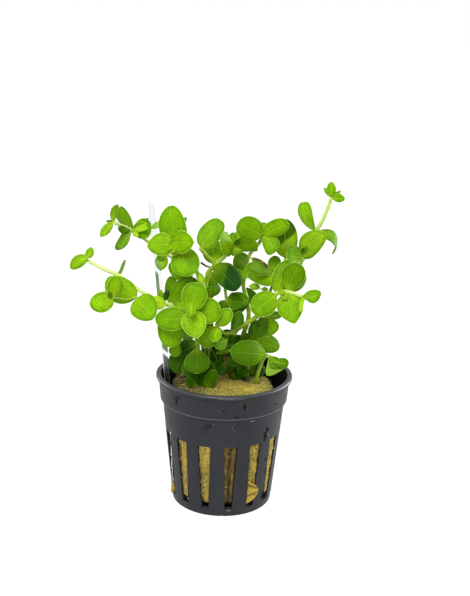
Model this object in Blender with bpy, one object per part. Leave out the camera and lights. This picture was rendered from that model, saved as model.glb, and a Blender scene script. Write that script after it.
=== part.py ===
"""A potted bacopa: a black net pot, its rockwool plug, a clear label strip and a bunch of leafy stems.

The frame is in metres with +Z up. The origin is the centre of the pot's underside, and the view that
the plant is drawn from looks along +Y with +X to the right. Stems and leaves are placed by spots: a
pixel across and down that view, and a depth in millimetres behind the pot's axis.
"""

import math
from collections import namedtuple

import bmesh
import bpy
from mathutils import Matrix, Vector

MM = 0.001
TOUCH_GAP = 0.3 * MM
CUTTER_REACH = 1.0 * MM
SHARP_ANGLE = 35.0

# Pot, from the outside of its lip down to its foot
POT_HEIGHT = 51.0 * MM
LIP_RADIUS = 26.0 * MM
LIP_DEPTH = 1.5 * MM
LIP_CHAMFER = 0.5 * MM
LIP_UNDERCUT = 0.3 * MM
COLLAR_STEP = 0.5 * MM
FOOT_ROUND = 0.7 * MM
COLLAR_TOP_RADIUS = 24.9 * MM
COLLAR_FOOT_RADIUS = 24.3 * MM
COLLAR_FOOT_Z = 41.4 * MM
WALL_TOP_RADIUS = 23.4 * MM
WALL_FOOT_RADIUS = 19.2 * MM
WALL_THICKNESS = 1.1 * MM
FLOOR_THICKNESS = 1.3 * MM
POT_SEGMENTS = 42
SLOT_COUNT = 14
SLOT_FIRST_ANGLE = -90 + 7.8
SLOT_TOP_Z = 29.7 * MM
SLOT_FOOT_Z = 3.4 * MM
SLOT_TOP_WIDTH = 5.2 * MM
SLOT_FOOT_WIDTH = 2.9 * MM
FLOOR_SLOT_COUNT = 7
FLOOR_SLOT_INNER = 6.5 * MM
FLOOR_SLOT_OUTER = 15.0 * MM
FLOOR_SLOT_WIDTH = 3.0 * MM

# Rockwool plug inside the pot
WOOL_CLEARANCE = 1.1 * MM
WOOL_EDGE_Z = 46.6 * MM
WOOL_CROWN_Z = 49.3 * MM
WOOL_SEGMENTS = 24
WOOL_GAP_ANGLE = 38.0
WOOL_GAP_DEPTH = 5.5 * MM
WOOL_GAP_FOOT_Z = 33.0 * MM
WOOL_GAP_SPREAD = 75.0
WOOL_LUMP = 0.25 * MM
WOOL_RING_HEIGHTS = (1.7 * MM, 16.0 * MM, 33.0 * MM, 44.0 * MM)
WOOL_DOME_SHARES = (0.93, 0.72, 0.42)
STEM_HOLE_SIDES = 6
STEM_HOLE_FOOT_RADIUS = 1.5 * MM
STEM_HOLE_TOP_RADIUS = 2.3 * MM
STEM_HOLE_DEPTH = 5.0 * MM
STEM_ROOT_Z = 44.5 * MM
LABEL_SLOT_CLEARANCE = 0.4 * MM

# Label strip, pushed in between the plug and the wall
LABEL_WIDTH = 6.6 * MM
LABEL_THICKNESS = 0.5 * MM
LABEL_FOOT = (-20.8 * MM, 1.3 * MM, 42.0 * MM)
LABEL_TOP = (-28.1 * MM, 2.0 * MM, 115.3 * MM)
LABEL_EDGE_TURN = -70.0

# Stems and leaves
STEM_FOOT_RADIUS = 0.85 * MM
STEM_TIP_RADIUS = 0.5 * MM
STEM_SIDES = 6
STEM_BUD_LENGTH = 0.7 * MM
STEM_BUD_RADIUS = 0.25 * MM
LEAF_THICKNESS = 0.55 * MM
LEAF_FOOT_WIDTH = 1.1 * MM
LEAF_STAND_OFF = 0.75 * MM
LEAF_ROWS = (0.0, 0.08, 0.26, 0.5, 0.74, 0.92)
SMALL_LEAF_ROWS = (0.0, 0.2, 0.55, 0.87)
LEAF_COLUMNS = (-1, 0, 1)
LEAF_BLUNTNESS = 0.56
LEAF_FULLNESS = 0.92
SMALL_LEAF_SINK = 0.35 * MM
LONG_SPAN = 13.0 * MM
SEPARATE_LEAF_WIDTH = 8.1

# The view that the spots are taken from
VIEW_EYE = Vector((0.0, -374.8, 189.8)) * MM
VIEW_AIM = Vector((3.3, 0.0, 80.7)) * MM
VIEW_ROLL = 1.6
VIEW_FOCAL = 1043.0
VIEW_CENTRE = (235.0, 298.0)

Leaf = namedtuple("Leaf", "at tip width roll arch cup", defaults=(0, 0.05, 0.15))
Shoot = namedtuple("Shoot", "stem leaves fork", defaults=(None,))

SHOOTS = {
    "upper_left": Shoot(
        stem=((206, 377, 6), (203, 345, 9), (192, 300, 11), (176, 262, 10), (163, 252, 8),
              (149, 242, 8), (131, 230, 3), (113, 222, 0)),
        leaves=(
            Leaf(6, (121, 206.8, 3), 8.2, -52),
            Leaf(6, (114, 248.3, -2), 8.2, -58),
            Leaf(6, (152, 229, 0), 8.4, 10, cup=0.4),
            Leaf(6, (118.5, 230, -4), 5.0, 60),
            Leaf(7, (116.5, 204.2, -2), 3.5, 180),
            Leaf(7, (100, 236.6, -3), 4.2, -40),
            Leaf(7, (106.5, 220.5, 2), 2.6, 60),
            Leaf(4, (160.5, 271, 6), 5.0, 0),
            Leaf(4, (151.3, 227.6, 11), 4.0, 60),
        )),
    "left": Shoot(
        stem=((193, 378, 3), (188, 350, 0), (181, 325, -5), (172.5, 306.5, -8), (161, 303, -8),
              (136, 287.8, -6), (118, 275.2, -3), (103, 268.8, -1), (89.5, 262, 1)),
        leaves=(
            Leaf(1, (175, 373, -4), 8.4, 0),
            Leaf(1, (171, 355, 4), 4.6, 0),
            Leaf(3, (189.5, 278, -10), 8.8, 0),
            Leaf(3, (172, 275, 3), 5.4, 0),
            Leaf(3, (169, 348.3, -13), 9.2, 0),
            Leaf(4, (160.5, 289.5, -8), 2.6, 0),
            Leaf(4, (168.5, 290, -5.5), 3.6, 50),
            Leaf(6, (125.8, 261, 2), 7.5, 80),
            Leaf(8, (71.3, 267.3, 0), 5.4, 20),
            Leaf(8, (91, 246.9, 3), 2.8, 0),
        )),
    "left_lower": Shoot(
        stem=((161, 303, -8), (149, 303, -10), (136.5, 298, -10), (126, 299.3, -12.5),
              (113.5, 297, -14)),
        leaves=(
            Leaf(2, (105, 280, -8), 9.6, 0, cup=0.05),
            Leaf(2, (153.5, 318.5, -17), 9.9, 0),
            Leaf(4, (117, 276, -17), 4.9, 0),
            Leaf(4, (90.6, 306.5, -14), 7.8, 0),
            Leaf(4, (107.5, 294.5, -16), 2.4, 0),
        ),
        fork=("left", 4)),
    "top_left": Shoot(
        stem=((206, 381, 0), (207, 345, -1), (206, 310, -2), (203.5, 288, -3), (198.5, 275, -5),
              (189, 259, -7), (180, 247, -10), (173, 243, -13)),
        leaves=(
            Leaf(6, (169.5, 205.3, -9), 9.6, 0),
            Leaf(6, (188.5, 276, -15), 10.2, 0),
            Leaf(5, (173, 281, -8), 9.0, 0),
            Leaf(7, (147, 245.5, -14), 8.2, 0),
            Leaf(7, (193.6, 240, -18), 8.8, 0),
            Leaf(7, (170.5, 254, -16), 2.4, 0),
            Leaf(5, (186.3, 217, -2), 3.6, 40),
        )),
    "front_left": Shoot(
        stem=((201, 388, -5), (199.5, 366, -8), (197.5, 343, -11), (195, 327, -14), (192, 316, -16),
              (190.5, 311, -19)),
        leaves=(
            Leaf(5, (199, 283, -16), 9.0, 0),
            Leaf(5, (198, 339, -25), 9.0, 0),
            Leaf(3, (183, 337.5, -8), 5.0, 0),
            Leaf(4, (154.5, 320.5, -17), 9.0, 0),
            Leaf(4, (221, 306.5, -15), 9.2, 0),
            Leaf(2, (195.7, 373.5, -15), 9.6, 0),
            Leaf(2, (180, 352.5, -4), 7.4, 0),
            Leaf(1, (186, 381, -12), 7.0, 0),
        )),
    "centre": Shoot(
        stem=((212, 377, 5), (209, 345, 4), (206, 315, 3), (205, 290, 1), (208.5, 273, 0),
              (214.5, 264.5, -1), (207, 256, -2), (200, 248, -3)),
        leaves=(
            Leaf(7, (223, 220, -2), 8.4, 0),
            Leaf(5, (212, 239, 8), 8.2, 0),
            Leaf(5, (238, 288, -9), 9.0, 0),
            Leaf(4, (216, 284.5, 5), 5.4, 0),
            Leaf(3, (219.6, 292, 5), 4.6, 0),
        )),
    "centre_right": Shoot(
        stem=((214.5, 264.5, -1), (225, 256, 0), (233.5, 245.5, -1)),
        leaves=(
            Leaf(2, (219, 243.5, -9), 9.6, 0),
            Leaf(2, (257.5, 243, -6), 7.2, 40),
            Leaf(2, (233, 232.3, 0), 3.2, 0),
            Leaf(2, (244, 231, 2), 5.0, 0),
            Leaf(2, (243, 253.5, -2.5), 3.6, 0),
        ),
        fork=("centre", 5)),
    "top": Shoot(
        stem=((243, 380, 1), (241, 345, -2), (248.5, 318, -2), (247, 300, 0), (243.5, 285, 1),
              (246.5, 265.5, 0), (250, 254, 0), (257, 246, -1), (263.5, 235.5, -4)),
        leaves=(
            Leaf(8, (238, 223, -11), 9.6, 0),
            Leaf(8, (287, 220.5, -7), 6.6, 20),
            Leaf(8, (272, 254.5, -8), 5.2, 0),
            Leaf(8, (263, 222, -1), 4.2, 8),
            Leaf(5, (233, 257, -4), 6.6, 0),
            Leaf(5, (241, 279, -4), 5.0, 0),
        )),
    "right": Shoot(
        stem=((232, 377, 0), (226.5, 362, -4), (226.5, 349, -6), (234, 332.5, -8), (246, 323.5, -9),
              (258, 315.5, -9), (268, 303, -9), (276, 294, -9), (287, 291.5, -10),
              (302.5, 296.5, -12)),
        leaves=(
            Leaf(3, (240.5, 311, -10), 5.0, 0),
            Leaf(3, (218, 349.5, -6), 6.0, 0),
            Leaf(7, (254, 313.5, -14), 9.2, 0),
            Leaf(7, (286.5, 260, -5), 6.8, 0),
            Leaf(8, (298.5, 262, -12), 8.8, 0),
            Leaf(8, (294.5, 325, -16), 9.4, 0),
            Leaf(8, (303.5, 268, 0), 7.0, 0),
            Leaf(9, (321.3, 293, -12), 5.0, 0),
            Leaf(9, (303, 311.5, -20), 2.6, 0),
        )),
    "right_top": Shoot(
        stem=((287, 291.5, -10), (295, 275, 3), (303, 257, 1), (309, 243, 2), (316, 231.5, 2.5),
              (323.5, 218.5, 2), (329.3, 204, 2), (331.6, 197.5, 2)),
        leaves=(
            Leaf(2, (287.5, 254.5, -6), 9.2, 0),
            Leaf(2, (326, 231.8, -9), 8.6, 0),
            Leaf(4, (303.2, 202.3, 2), 8.2, -48, arch=0.08),
            Leaf(4, (331.5, 253.6, 6), 8.2, -62, arch=0.36),
            Leaf(7, (331, 181.8, 1), 3.4, 0),
            Leaf(7, (345, 198, -2), 3.4, 20),
            Leaf(7, (324.6, 188.2, 4), 2.4, 60),
            Leaf(7, (341.2, 191, 5), 2.0, 0),
        ),
        fork=("right", 8)),
    "right_back": Shoot(
        stem=((295, 275, 3), (289, 267, 5), (285, 258, 4)),
        leaves=(
            Leaf(2, (285.5, 219.3, 8), 9.4, 0),
            Leaf(1, (276, 271, 8), 5.0, 0),
        ),
        fork=("right_top", 1)),
    "right_mid": Shoot(
        stem=((246, 381, -2), (248, 368, 0), (249, 345, 4), (262, 315, 3), (269.5, 293, -3),
              (274, 281, -4), (272.5, 272, -4)),
        leaves=(
            Leaf(6, (247, 283, -8), 8.2, 35),
            Leaf(6, (276, 255.5, 0), 5.0, 0),
            Leaf(6, (247, 267.5, -16), 6.0, 20),
            Leaf(3, (245, 288, 8), 6.0, 0),
            Leaf(1, (237.5, 369, -5), 5.2, 0),
        )),
    "right_low": Shoot(
        stem=((255.5, 384, -4), (258, 373, -5), (262, 362, -6), (266.5, 354.5, -6)),
        leaves=(
            Leaf(3, (230.8, 351.5, -14), 9.6, 0),
            Leaf(3, (286, 371, -8), 8.6, 0, arch=0.12),
        )),
    "right_low_back": Shoot(
        stem=((250.5, 379, 3), (252, 370, 1), (253, 360, -1), (251, 340, -5), (258, 328, -6),
              (266, 317, -7)),
        leaves=(
            Leaf(1, (265.5, 370, 4), 5.0, 0),
            Leaf(3, (279.8, 348.5, 1), 7.6, 0),
            Leaf(3, (243.5, 334, -7), 3.0, 0),
            Leaf(5, (255, 338, -5), 6.4, 0),
            Leaf(5, (269, 337.5, -12), 6.4, 0),
            Leaf(5, (282.5, 315, -5), 3.0, 10),
        )),
    "low_middle": Shoot(
        stem=((234, 332.5, -8), (225, 333.5, -11), (217.5, 326.5, -13)),
        leaves=(
            Leaf(2, (228.8, 309, -11), 5.8, 0),
            Leaf(2, (209.5, 342.5, -19), 5.8, 0),
            Leaf(2, (201.5, 347.5, -15), 8.2, 0),
        ),
        fork=("right", 3)),
    "inner": Shoot(
        stem=((236, 378, 4), (232, 340, 0), (233, 312, -3), (227, 300, -3), (225, 288, -3)),
        leaves=(
            Leaf(3, (246.5, 299, -7), 7.6, 0, cup=0.35),
            Leaf(4, (231, 282, -1), 3.2, 0),
            Leaf(3, (220.5, 311, -4), 4.4, 0),
        )),
}


def view_axes():
    """Directions of the view: forward, right and up."""
    forward = (VIEW_AIM - VIEW_EYE).normalized()
    level_right = forward.cross(Vector((0, 0, 1))).normalized()
    level_up = level_right.cross(forward)
    turn = math.radians(VIEW_ROLL)
    right = level_right * math.cos(turn) + level_up * math.sin(turn)
    up = level_up * math.cos(turn) - level_right * math.sin(turn)
    return forward, right, up


def spot(place):
    """Point at a pixel of the view and a depth in millimetres behind the pot's axis."""
    across, down, depth = place
    forward, right, up = view_axes()
    ray = (forward + right * ((across - VIEW_CENTRE[0]) / VIEW_FOCAL)
           - up * ((down - VIEW_CENTRE[1]) / VIEW_FOCAL))
    reach = (depth * MM - VIEW_EYE.y) / ray.y
    return VIEW_EYE + ray * reach


def clear_scene():
    for thing in list(bpy.data.objects):
        bpy.data.objects.remove(thing, do_unlink=True)


def make_material(name, colour, roughness, alpha=1.0, transmission=0.0):
    material = bpy.data.materials.new(name)
    material.use_nodes = True
    shader = material.node_tree.nodes["Principled BSDF"]
    shader.inputs["Base Color"].default_value = (*colour, 1.0)
    shader.inputs["Roughness"].default_value = roughness
    shader.inputs["Metallic"].default_value = 0.0
    shader.inputs["Alpha"].default_value = alpha
    shader.inputs["Transmission Weight"].default_value = transmission
    return material


def make_object(name, vertices, faces, material):
    """Object from vertices and faces, shaded smooth except at sharp edges."""
    mesh = bpy.data.meshes.new(name)
    mesh.from_pydata([tuple(vertex) for vertex in vertices], [], faces)
    mesh.materials.append(material)
    mesh.validate()
    mesh.shade_smooth()
    mesh.set_sharp_from_angle(angle=math.radians(SHARP_ANGLE))
    thing = bpy.data.objects.new(name, mesh)
    bpy.context.collection.objects.link(thing)
    return thing


def hide_helper(helper):
    helper.hide_render = True
    helper.display_type = "WIRE"


def cut(target, cutter):
    """Boolean difference that keeps its cutter as a hidden helper."""
    hide_helper(cutter)
    difference = target.modifiers.new("cut_" + cutter.name, "BOOLEAN")
    difference.operation = "DIFFERENCE"
    difference.solver = "EXACT"
    difference.object = cutter


def turned(name, profile, segments, material):
    """Solid turned about +Z from a closed loop of (radius, height), with poles where the radius is 0."""
    vertices = []
    rings = []
    for radius, height in profile:
        if radius == 0:
            rings.append([len(vertices)] * segments)
            vertices.append((0, 0, height))
            continue
        rings.append(list(range(len(vertices), len(vertices) + segments)))
        for step in range(segments):
            angle = 2 * math.pi * step / segments
            vertices.append((radius * math.cos(angle), radius * math.sin(angle), height))
    faces = []
    for upper, lower in zip(rings, rings[1:]):
        for step in range(segments):
            after = (step + 1) % segments
            corners = [upper[step], lower[step], lower[after], upper[after]]
            face = list(dict.fromkeys(corners))
            if len(face) > 2:
                faces.append(face)
    return make_object(name, vertices, faces, material)


def box_vertices(low, high):
    return [(x, y, z) for x in (low[0], high[0]) for y in (low[1], high[1]) for z in (low[2], high[2])]


BOX_FACES = [(0, 1, 3, 2), (4, 6, 7, 5), (0, 4, 5, 1), (2, 3, 7, 6), (0, 2, 6, 4), (1, 5, 7, 3)]


def rotated(vertices, degrees):
    turn = Matrix.Rotation(math.radians(degrees), 3, "Z")
    return [turn @ Vector(vertex) for vertex in vertices]


def joined_boxes(name, boxes, material):
    """One helper object that holds several separate boxes."""
    vertices = []
    faces = []
    for corners in boxes:
        start = len(vertices)
        vertices.extend(corners)
        faces.extend(tuple(start + index for index in face) for face in BOX_FACES)
    return make_object(name, vertices, faces, material)


def slot_box(angle):
    """Cutter of one wall slot, narrower at its foot."""
    inner = WALL_FOOT_RADIUS - WALL_THICKNESS - CUTTER_REACH
    outer = LIP_RADIUS
    corners = []
    for radius in (inner, outer):
        for side in (-1, 1):
            corners.append((radius, side * SLOT_FOOT_WIDTH / 2, SLOT_FOOT_Z))
            corners.append((radius, side * SLOT_TOP_WIDTH / 2, SLOT_TOP_Z))
    return rotated(corners, angle)


def floor_slot_box(angle):
    low = (FLOOR_SLOT_INNER, -FLOOR_SLOT_WIDTH / 2, -CUTTER_REACH)
    high = (FLOOR_SLOT_OUTER, FLOOR_SLOT_WIDTH / 2, FLOOR_THICKNESS + CUTTER_REACH)
    return rotated(box_vertices(low, high), angle)


def wall_radius(height):
    """Outside radius of the slotted wall at a height."""
    share = height / COLLAR_FOOT_Z
    return WALL_FOOT_RADIUS + (WALL_TOP_RADIUS - WALL_FOOT_RADIUS) * share


def build_pot(material):
    step_z = COLLAR_FOOT_Z - COLLAR_STEP
    lip_foot_z = POT_HEIGHT - LIP_DEPTH
    profile = [
        (0, 0),
        (WALL_FOOT_RADIUS - FOOT_ROUND, 0),
        (WALL_FOOT_RADIUS, FOOT_ROUND),
        (WALL_TOP_RADIUS, step_z),
        (COLLAR_FOOT_RADIUS, COLLAR_FOOT_Z),
        (COLLAR_TOP_RADIUS, lip_foot_z - LIP_UNDERCUT),
        (LIP_RADIUS, lip_foot_z),
        (LIP_RADIUS, POT_HEIGHT - LIP_CHAMFER),
        (LIP_RADIUS - LIP_CHAMFER, POT_HEIGHT),
        (COLLAR_TOP_RADIUS - WALL_THICKNESS, POT_HEIGHT),
        (COLLAR_FOOT_RADIUS - WALL_THICKNESS, COLLAR_FOOT_Z),
        (WALL_TOP_RADIUS - WALL_THICKNESS, step_z - WALL_THICKNESS),
        (wall_radius(FLOOR_THICKNESS) - WALL_THICKNESS, FLOOR_THICKNESS),
        (0, FLOOR_THICKNESS),
    ]
    pot = turned("pot", profile[::-1], POT_SEGMENTS, material)
    pitch = 360 / SLOT_COUNT
    slots = [slot_box(SLOT_FIRST_ANGLE + pitch * index) for index in range(SLOT_COUNT)]
    cut(pot, joined_boxes("wall_slot_cutter", slots, material))
    floor_pitch = 360 / FLOOR_SLOT_COUNT
    slots = [floor_slot_box(floor_pitch * index) for index in range(FLOOR_SLOT_COUNT)]
    cut(pot, joined_boxes("floor_slot_cutter", slots, material))
    return pot


def angle_between(degrees, other):
    return abs((degrees - other + 180) % 360 - 180)


def wool_radius(degrees, height):
    """Radius of the plug, which leaves the wall on the right at the back near its top."""
    fit = wall_radius(height) - WALL_THICKNESS - WOOL_CLEARANCE
    lumps = math.sin(math.radians(5 * degrees)) + math.sin(math.radians(9 * degrees + 40))
    near_gap = max(0.0, 1 - angle_between(degrees, WOOL_GAP_ANGLE) / WOOL_GAP_SPREAD)
    near_top = max(0.0, (height - WOOL_GAP_FOOT_Z) / (WOOL_EDGE_Z - WOOL_GAP_FOOT_Z))
    sunk = WOOL_GAP_DEPTH * math.sin(near_gap * math.pi / 2) * near_top ** 0.7
    return fit + WOOL_LUMP * lumps - sunk


def build_rockwool(material, hole_places, label_slot):
    """Plug of mineral wool with a domed top, a hole for each stem and a slot for the label strip."""
    rings = [(1.0, height, height) for height in WOOL_RING_HEIGHTS]
    for share in WOOL_DOME_SHARES:
        dome = WOOL_EDGE_Z + (WOOL_CROWN_Z - WOOL_EDGE_Z) * math.sqrt(1 - share ** 2)
        rings.append((share, WOOL_EDGE_Z, dome))
    vertices = []
    for share, radius_height, height in rings:
        for step in range(WOOL_SEGMENTS):
            degrees = 360 * step / WOOL_SEGMENTS
            radius = wool_radius(degrees, radius_height) * share
            angle = math.radians(degrees)
            vertices.append((radius * math.cos(angle), radius * math.sin(angle), height))
    faces = []
    for ring in range(len(rings) - 1):
        start = ring * WOOL_SEGMENTS
        for step in range(WOOL_SEGMENTS):
            after = (step + 1) % WOOL_SEGMENTS
            faces.append((start + step, start + after,
                          start + WOOL_SEGMENTS + after, start + WOOL_SEGMENTS + step))
    vertices.append((0, 0, WOOL_RING_HEIGHTS[0]))
    vertices.append((0, 0, WOOL_CROWN_Z))
    foot, crown = len(vertices) - 2, len(vertices) - 1
    top_start = (len(rings) - 1) * WOOL_SEGMENTS
    for step in range(WOOL_SEGMENTS):
        after = (step + 1) % WOOL_SEGMENTS
        faces.append((foot, after, step))
        faces.append((crown, top_start + step, top_start + after))
    wool = make_object("rockwool", vertices, faces, material)
    for number, place in enumerate(hole_places):
        hole = make_hole("stem_hole_%d" % number, place, material)
        cut(wool, hole)
    cut(wool, label_slot)
    return wool


def make_hole(name, place, material):
    """Cutter of a stem hole, wider toward the top of the plug."""
    vertices = []
    for radius, height in ((STEM_HOLE_FOOT_RADIUS, WOOL_EDGE_Z - STEM_HOLE_DEPTH),
                           (STEM_HOLE_TOP_RADIUS, WOOL_CROWN_Z + CUTTER_REACH)):
        for step in range(STEM_HOLE_SIDES):
            angle = 2 * math.pi * step / STEM_HOLE_SIDES
            vertices.append((place.x + radius * math.cos(angle),
                             place.y + radius * math.sin(angle), height))
    faces = [tuple(reversed(range(STEM_HOLE_SIDES))),
             tuple(range(STEM_HOLE_SIDES, 2 * STEM_HOLE_SIDES))]
    for step in range(STEM_HOLE_SIDES):
        after = (step + 1) % STEM_HOLE_SIDES
        faces.append((step, after, STEM_HOLE_SIDES + after, STEM_HOLE_SIDES + step))
    return make_object(name, vertices, faces, material)


def build_label(name, clearance, material):
    """Clear strip that leans out along the wall, or the room for it with a clearance all round."""
    foot = Vector(LABEL_FOOT) - Vector((0, 0, clearance))
    top = Vector(LABEL_TOP)
    along = (top - foot).normalized()
    turn = math.radians(LABEL_EDGE_TURN)
    across = Vector((math.cos(turn), math.sin(turn), 0))
    across = (across - along * across.dot(along)).normalized()
    out = along.cross(across)
    vertices = []
    for end in (foot, top):
        for side in (-0.5, 0.5):
            for face in (-0.5, 0.5):
                vertices.append(end + across * (side * (LABEL_WIDTH + 2 * clearance))
                                + out * (face * (LABEL_THICKNESS + 2 * clearance)))
    faces = [(1, 3, 2, 0), (6, 7, 5, 4), (4, 5, 1, 0), (3, 7, 6, 2), (2, 6, 4, 0), (5, 7, 3, 1)]
    return make_object(name, vertices, faces, material)


def smooth_path(points):
    """Points of a Catmull-Rom curve through the given points, with a long span halved."""
    ends = [points[0] * 2 - points[1]] + list(points) + [points[-1] * 2 - points[-2]]
    path = []
    for index in range(1, len(ends) - 2):
        before, start, end, after = ends[index - 1:index + 3]
        steps = 2 if (end - start).length > LONG_SPAN else 1
        for step in range(steps):
            t = step / steps
            path.append(0.5 * (2 * start + (end - before) * t
                               + (2 * before - 5 * start + 4 * end - after) * t * t
                               + (3 * start - before - 3 * end + after) * t * t * t))
    path.append(points[-1].copy())
    return path


def tube_mesh(path, radii, sides):
    """Vertices and faces of a closed tube along a path."""
    vertices = []
    guide = Vector((0, 1, 0))
    for index, point in enumerate(path):
        ahead = path[min(index + 1, len(path) - 1)]
        behind = path[max(index - 1, 0)]
        along = (ahead - behind).normalized()
        side = guide.cross(along).normalized()
        other = along.cross(side)
        guide = other
        for step in range(sides):
            angle = 2 * math.pi * step / sides
            offset = side * math.cos(angle) + other * math.sin(angle)
            vertices.append(point + offset * radii[index])
    faces = []
    for index in range(len(path) - 1):
        start = index * sides
        for step in range(sides):
            after = (step + 1) % sides
            faces.append((start + step, start + after, start + sides + after, start + sides + step))
    last = (len(path) - 1) * sides
    faces.append(tuple(reversed(range(sides))))
    faces.append(tuple(range(last, last + sides)))
    return vertices, faces


def stem_radius(share):
    return STEM_FOOT_RADIUS + (STEM_TIP_RADIUS - STEM_FOOT_RADIUS) * share


def stem_direction(points, index):
    ahead = points[min(index + 1, len(points) - 1)]
    behind = points[max(index - 1, 0)]
    return (ahead - behind).normalized()


def beside_stem(node, stem_way, grow_way, distance):
    """Place beside a stem's axis, on the side that a leaf or a branch grows to."""
    aside = grow_way - stem_way * grow_way.dot(stem_way)
    return node + aside.normalized() * distance


def stem_points(shoot):
    """Centre points of a stem, which starts in its hole in the plug or beside the stem that it forks from."""
    points = [spot(place) for place in shoot.stem]
    if shoot.fork is None:
        root = points[0]
        points.insert(0, Vector((root.x, root.y, STEM_ROOT_Z)))
        return points
    parent, index = shoot.fork
    parent_points = [spot(place) for place in SHOOTS[parent].stem]
    parent_way = stem_direction(parent_points, index)
    grow_way = (points[1] - points[0]).normalized()
    distance = 2 * STEM_FOOT_RADIUS + TOUCH_GAP
    points[0] = beside_stem(points[0], parent_way, grow_way, distance)
    return points


def leaf_frame(base, tip, roll):
    """Directions of a leaf: along it, across it and out of its upper side."""
    along = (tip - base).normalized()
    toward = (VIEW_EYE - base).normalized()
    out = (toward - along * toward.dot(along)).normalized()
    out = Matrix.Rotation(math.radians(roll), 3, along) @ out
    return along, along.cross(out), out


def leaf_half_width(share):
    """Half width of a broad oval leaf at a share of its length, as a share of its greatest."""
    hump = 4 * share * (1 - share)
    return hump ** LEAF_BLUNTNESS * (LEAF_FULLNESS + (1 - LEAF_FULLNESS) * hump)


def leaf_mesh(base, tip, leaf, rows):
    """Vertices and faces of a thin leaf with a sharp rim, cupped across and arched along."""
    along, across, out = leaf_frame(base, tip, leaf.roll)
    length = (tip - base).length
    half = leaf.width * MM / 2
    foot = min(LEAF_FOOT_WIDTH / 2 / half, 0.5)
    top_rows = []
    bottom_rows = []
    vertices = []

    def place(share, offset, spread, lift):
        rise = leaf.arch * length * 4 * share * (1 - share)
        fold = leaf.cup * half * (spread * abs(offset)) ** 1.5
        return (base + along * (length * share) + across * (offset * spread * half)
                + out * (rise + fold + lift))

    for share in rows:
        spread = max(leaf_half_width(share), foot)
        tops = []
        bottoms = []
        for offset in LEAF_COLUMNS:
            lift = LEAF_THICKNESS / 2 * (1 - offset * offset)
            tops.append(len(vertices))
            vertices.append(place(share, offset, spread, lift))
            if abs(offset) == 1:
                bottoms.append(tops[-1])
                continue
            bottoms.append(len(vertices))
            vertices.append(place(share, offset, spread, -lift))
        top_rows.append(tops)
        bottom_rows.append(bottoms)
    apex = len(vertices)
    vertices.append(place(1.0, 0, 0, 0))
    faces = []
    strips = range(len(LEAF_COLUMNS) - 1)
    for row in range(len(rows) - 1):
        for column in strips:
            one, two = top_rows[row][column:column + 2]
            four, three = top_rows[row + 1][column:column + 2]
            faces.append((one, two, three, four))
            one, two = bottom_rows[row][column:column + 2]
            four, three = bottom_rows[row + 1][column:column + 2]
            faces.append((one, four, three, two))
    for column in strips:
        faces.append((top_rows[-1][column], top_rows[-1][column + 1], apex))
        faces.append((bottom_rows[-1][column], apex, bottom_rows[-1][column + 1]))
    foot_loop = top_rows[0] + bottom_rows[0][-2:0:-1]
    faces.append(tuple(reversed(foot_loop)))
    return vertices, faces


def build_shoot(name, shoot, stem_material, leaf_material):
    """A stem with its small leaves fused to it, and a separate piece for each large leaf."""
    points = stem_points(shoot)
    path = smooth_path(points)
    radii = [stem_radius(index / (len(path) - 1)) for index in range(len(path))]
    path.append(path[-1] + stem_direction(points, len(points) - 1) * STEM_BUD_LENGTH)
    radii.append(STEM_BUD_RADIUS)
    vertices, faces = tube_mesh(path, radii, STEM_SIDES)
    stem = make_object(name + "_stem", vertices, faces, stem_material)
    small_leaves = bpy.data.collections.new(name + "_small_leaves")
    bpy.context.scene.collection.children.link(small_leaves)
    large = 0
    small = 0
    for leaf in shoot.leaves:
        index = leaf.at + (1 if shoot.fork is None else 0)
        node = points[index]
        tip = spot(leaf.tip)
        if leaf.width >= SEPARATE_LEAF_WIDTH:
            large += 1
            distance = stem_radius(index / (len(points) - 1)) + LEAF_STAND_OFF
            start = beside_stem(node, stem_direction(points, index), tip - node, distance)
            mesh = leaf_mesh(start, tip, leaf, LEAF_ROWS)
            make_object("%s_leaf_%d" % (name, large), *mesh, leaf_material)
            continue
        small += 1
        start = node - (tip - node).normalized() * SMALL_LEAF_SINK
        mesh = leaf_mesh(start, tip, leaf, SMALL_LEAF_ROWS)
        helper = make_object("%s_small_leaf_%d" % (name, small), *mesh, leaf_material)
        bpy.context.collection.objects.unlink(helper)
        small_leaves.objects.link(helper)
        hide_helper(helper)
    if small > 0:
        union = stem.modifiers.new("small_leaves", "BOOLEAN")
        union.operation = "UNION"
        union.solver = "EXACT"
        union.operand_type = "COLLECTION"
        union.collection = small_leaves
        stem.modifiers.new("even_triangles", "TRIANGULATE")
    return stem


def main():
    clear_scene()
    pot_plastic = make_material("pot_plastic", (0.045, 0.047, 0.056), 0.42)
    wool_fibre = make_material("rockwool_fibre", (0.42, 0.34, 0.08), 0.95)
    clear_plastic = make_material("clear_plastic", (0.86, 0.91, 0.97), 0.12, alpha=0.4)
    stem_skin = make_material("stem_skin", (0.33, 0.5, 0.06), 0.5)
    leaf_skin = make_material("leaf_skin", (0.17, 0.42, 0.01), 0.4)
    build_pot(pot_plastic)
    roots = [spot(shoot.stem[0]) for shoot in SHOOTS.values() if shoot.fork is None]
    label_slot = build_label("label_slot_cutter", LABEL_SLOT_CLEARANCE, clear_plastic)
    build_rockwool(wool_fibre, roots, label_slot)
    build_label("label_strip", 0, clear_plastic)
    for name, shoot in SHOOTS.items():
        build_shoot(name, shoot, stem_skin, leaf_skin)


main()
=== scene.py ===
"""Looks of a potted bacopa: fine leaves, stems, rockwool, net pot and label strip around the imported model.

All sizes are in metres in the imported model's frame: +Z up, origin at the centre of the pot's underside.
Stems and leaves are placed by spots: a pixel across and down the camera's picture, and a depth in
millimetres behind the pot's axis.
"""

import math
import random
from collections import namedtuple

import bpy
from mathutils import Matrix, Vector, noise


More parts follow.
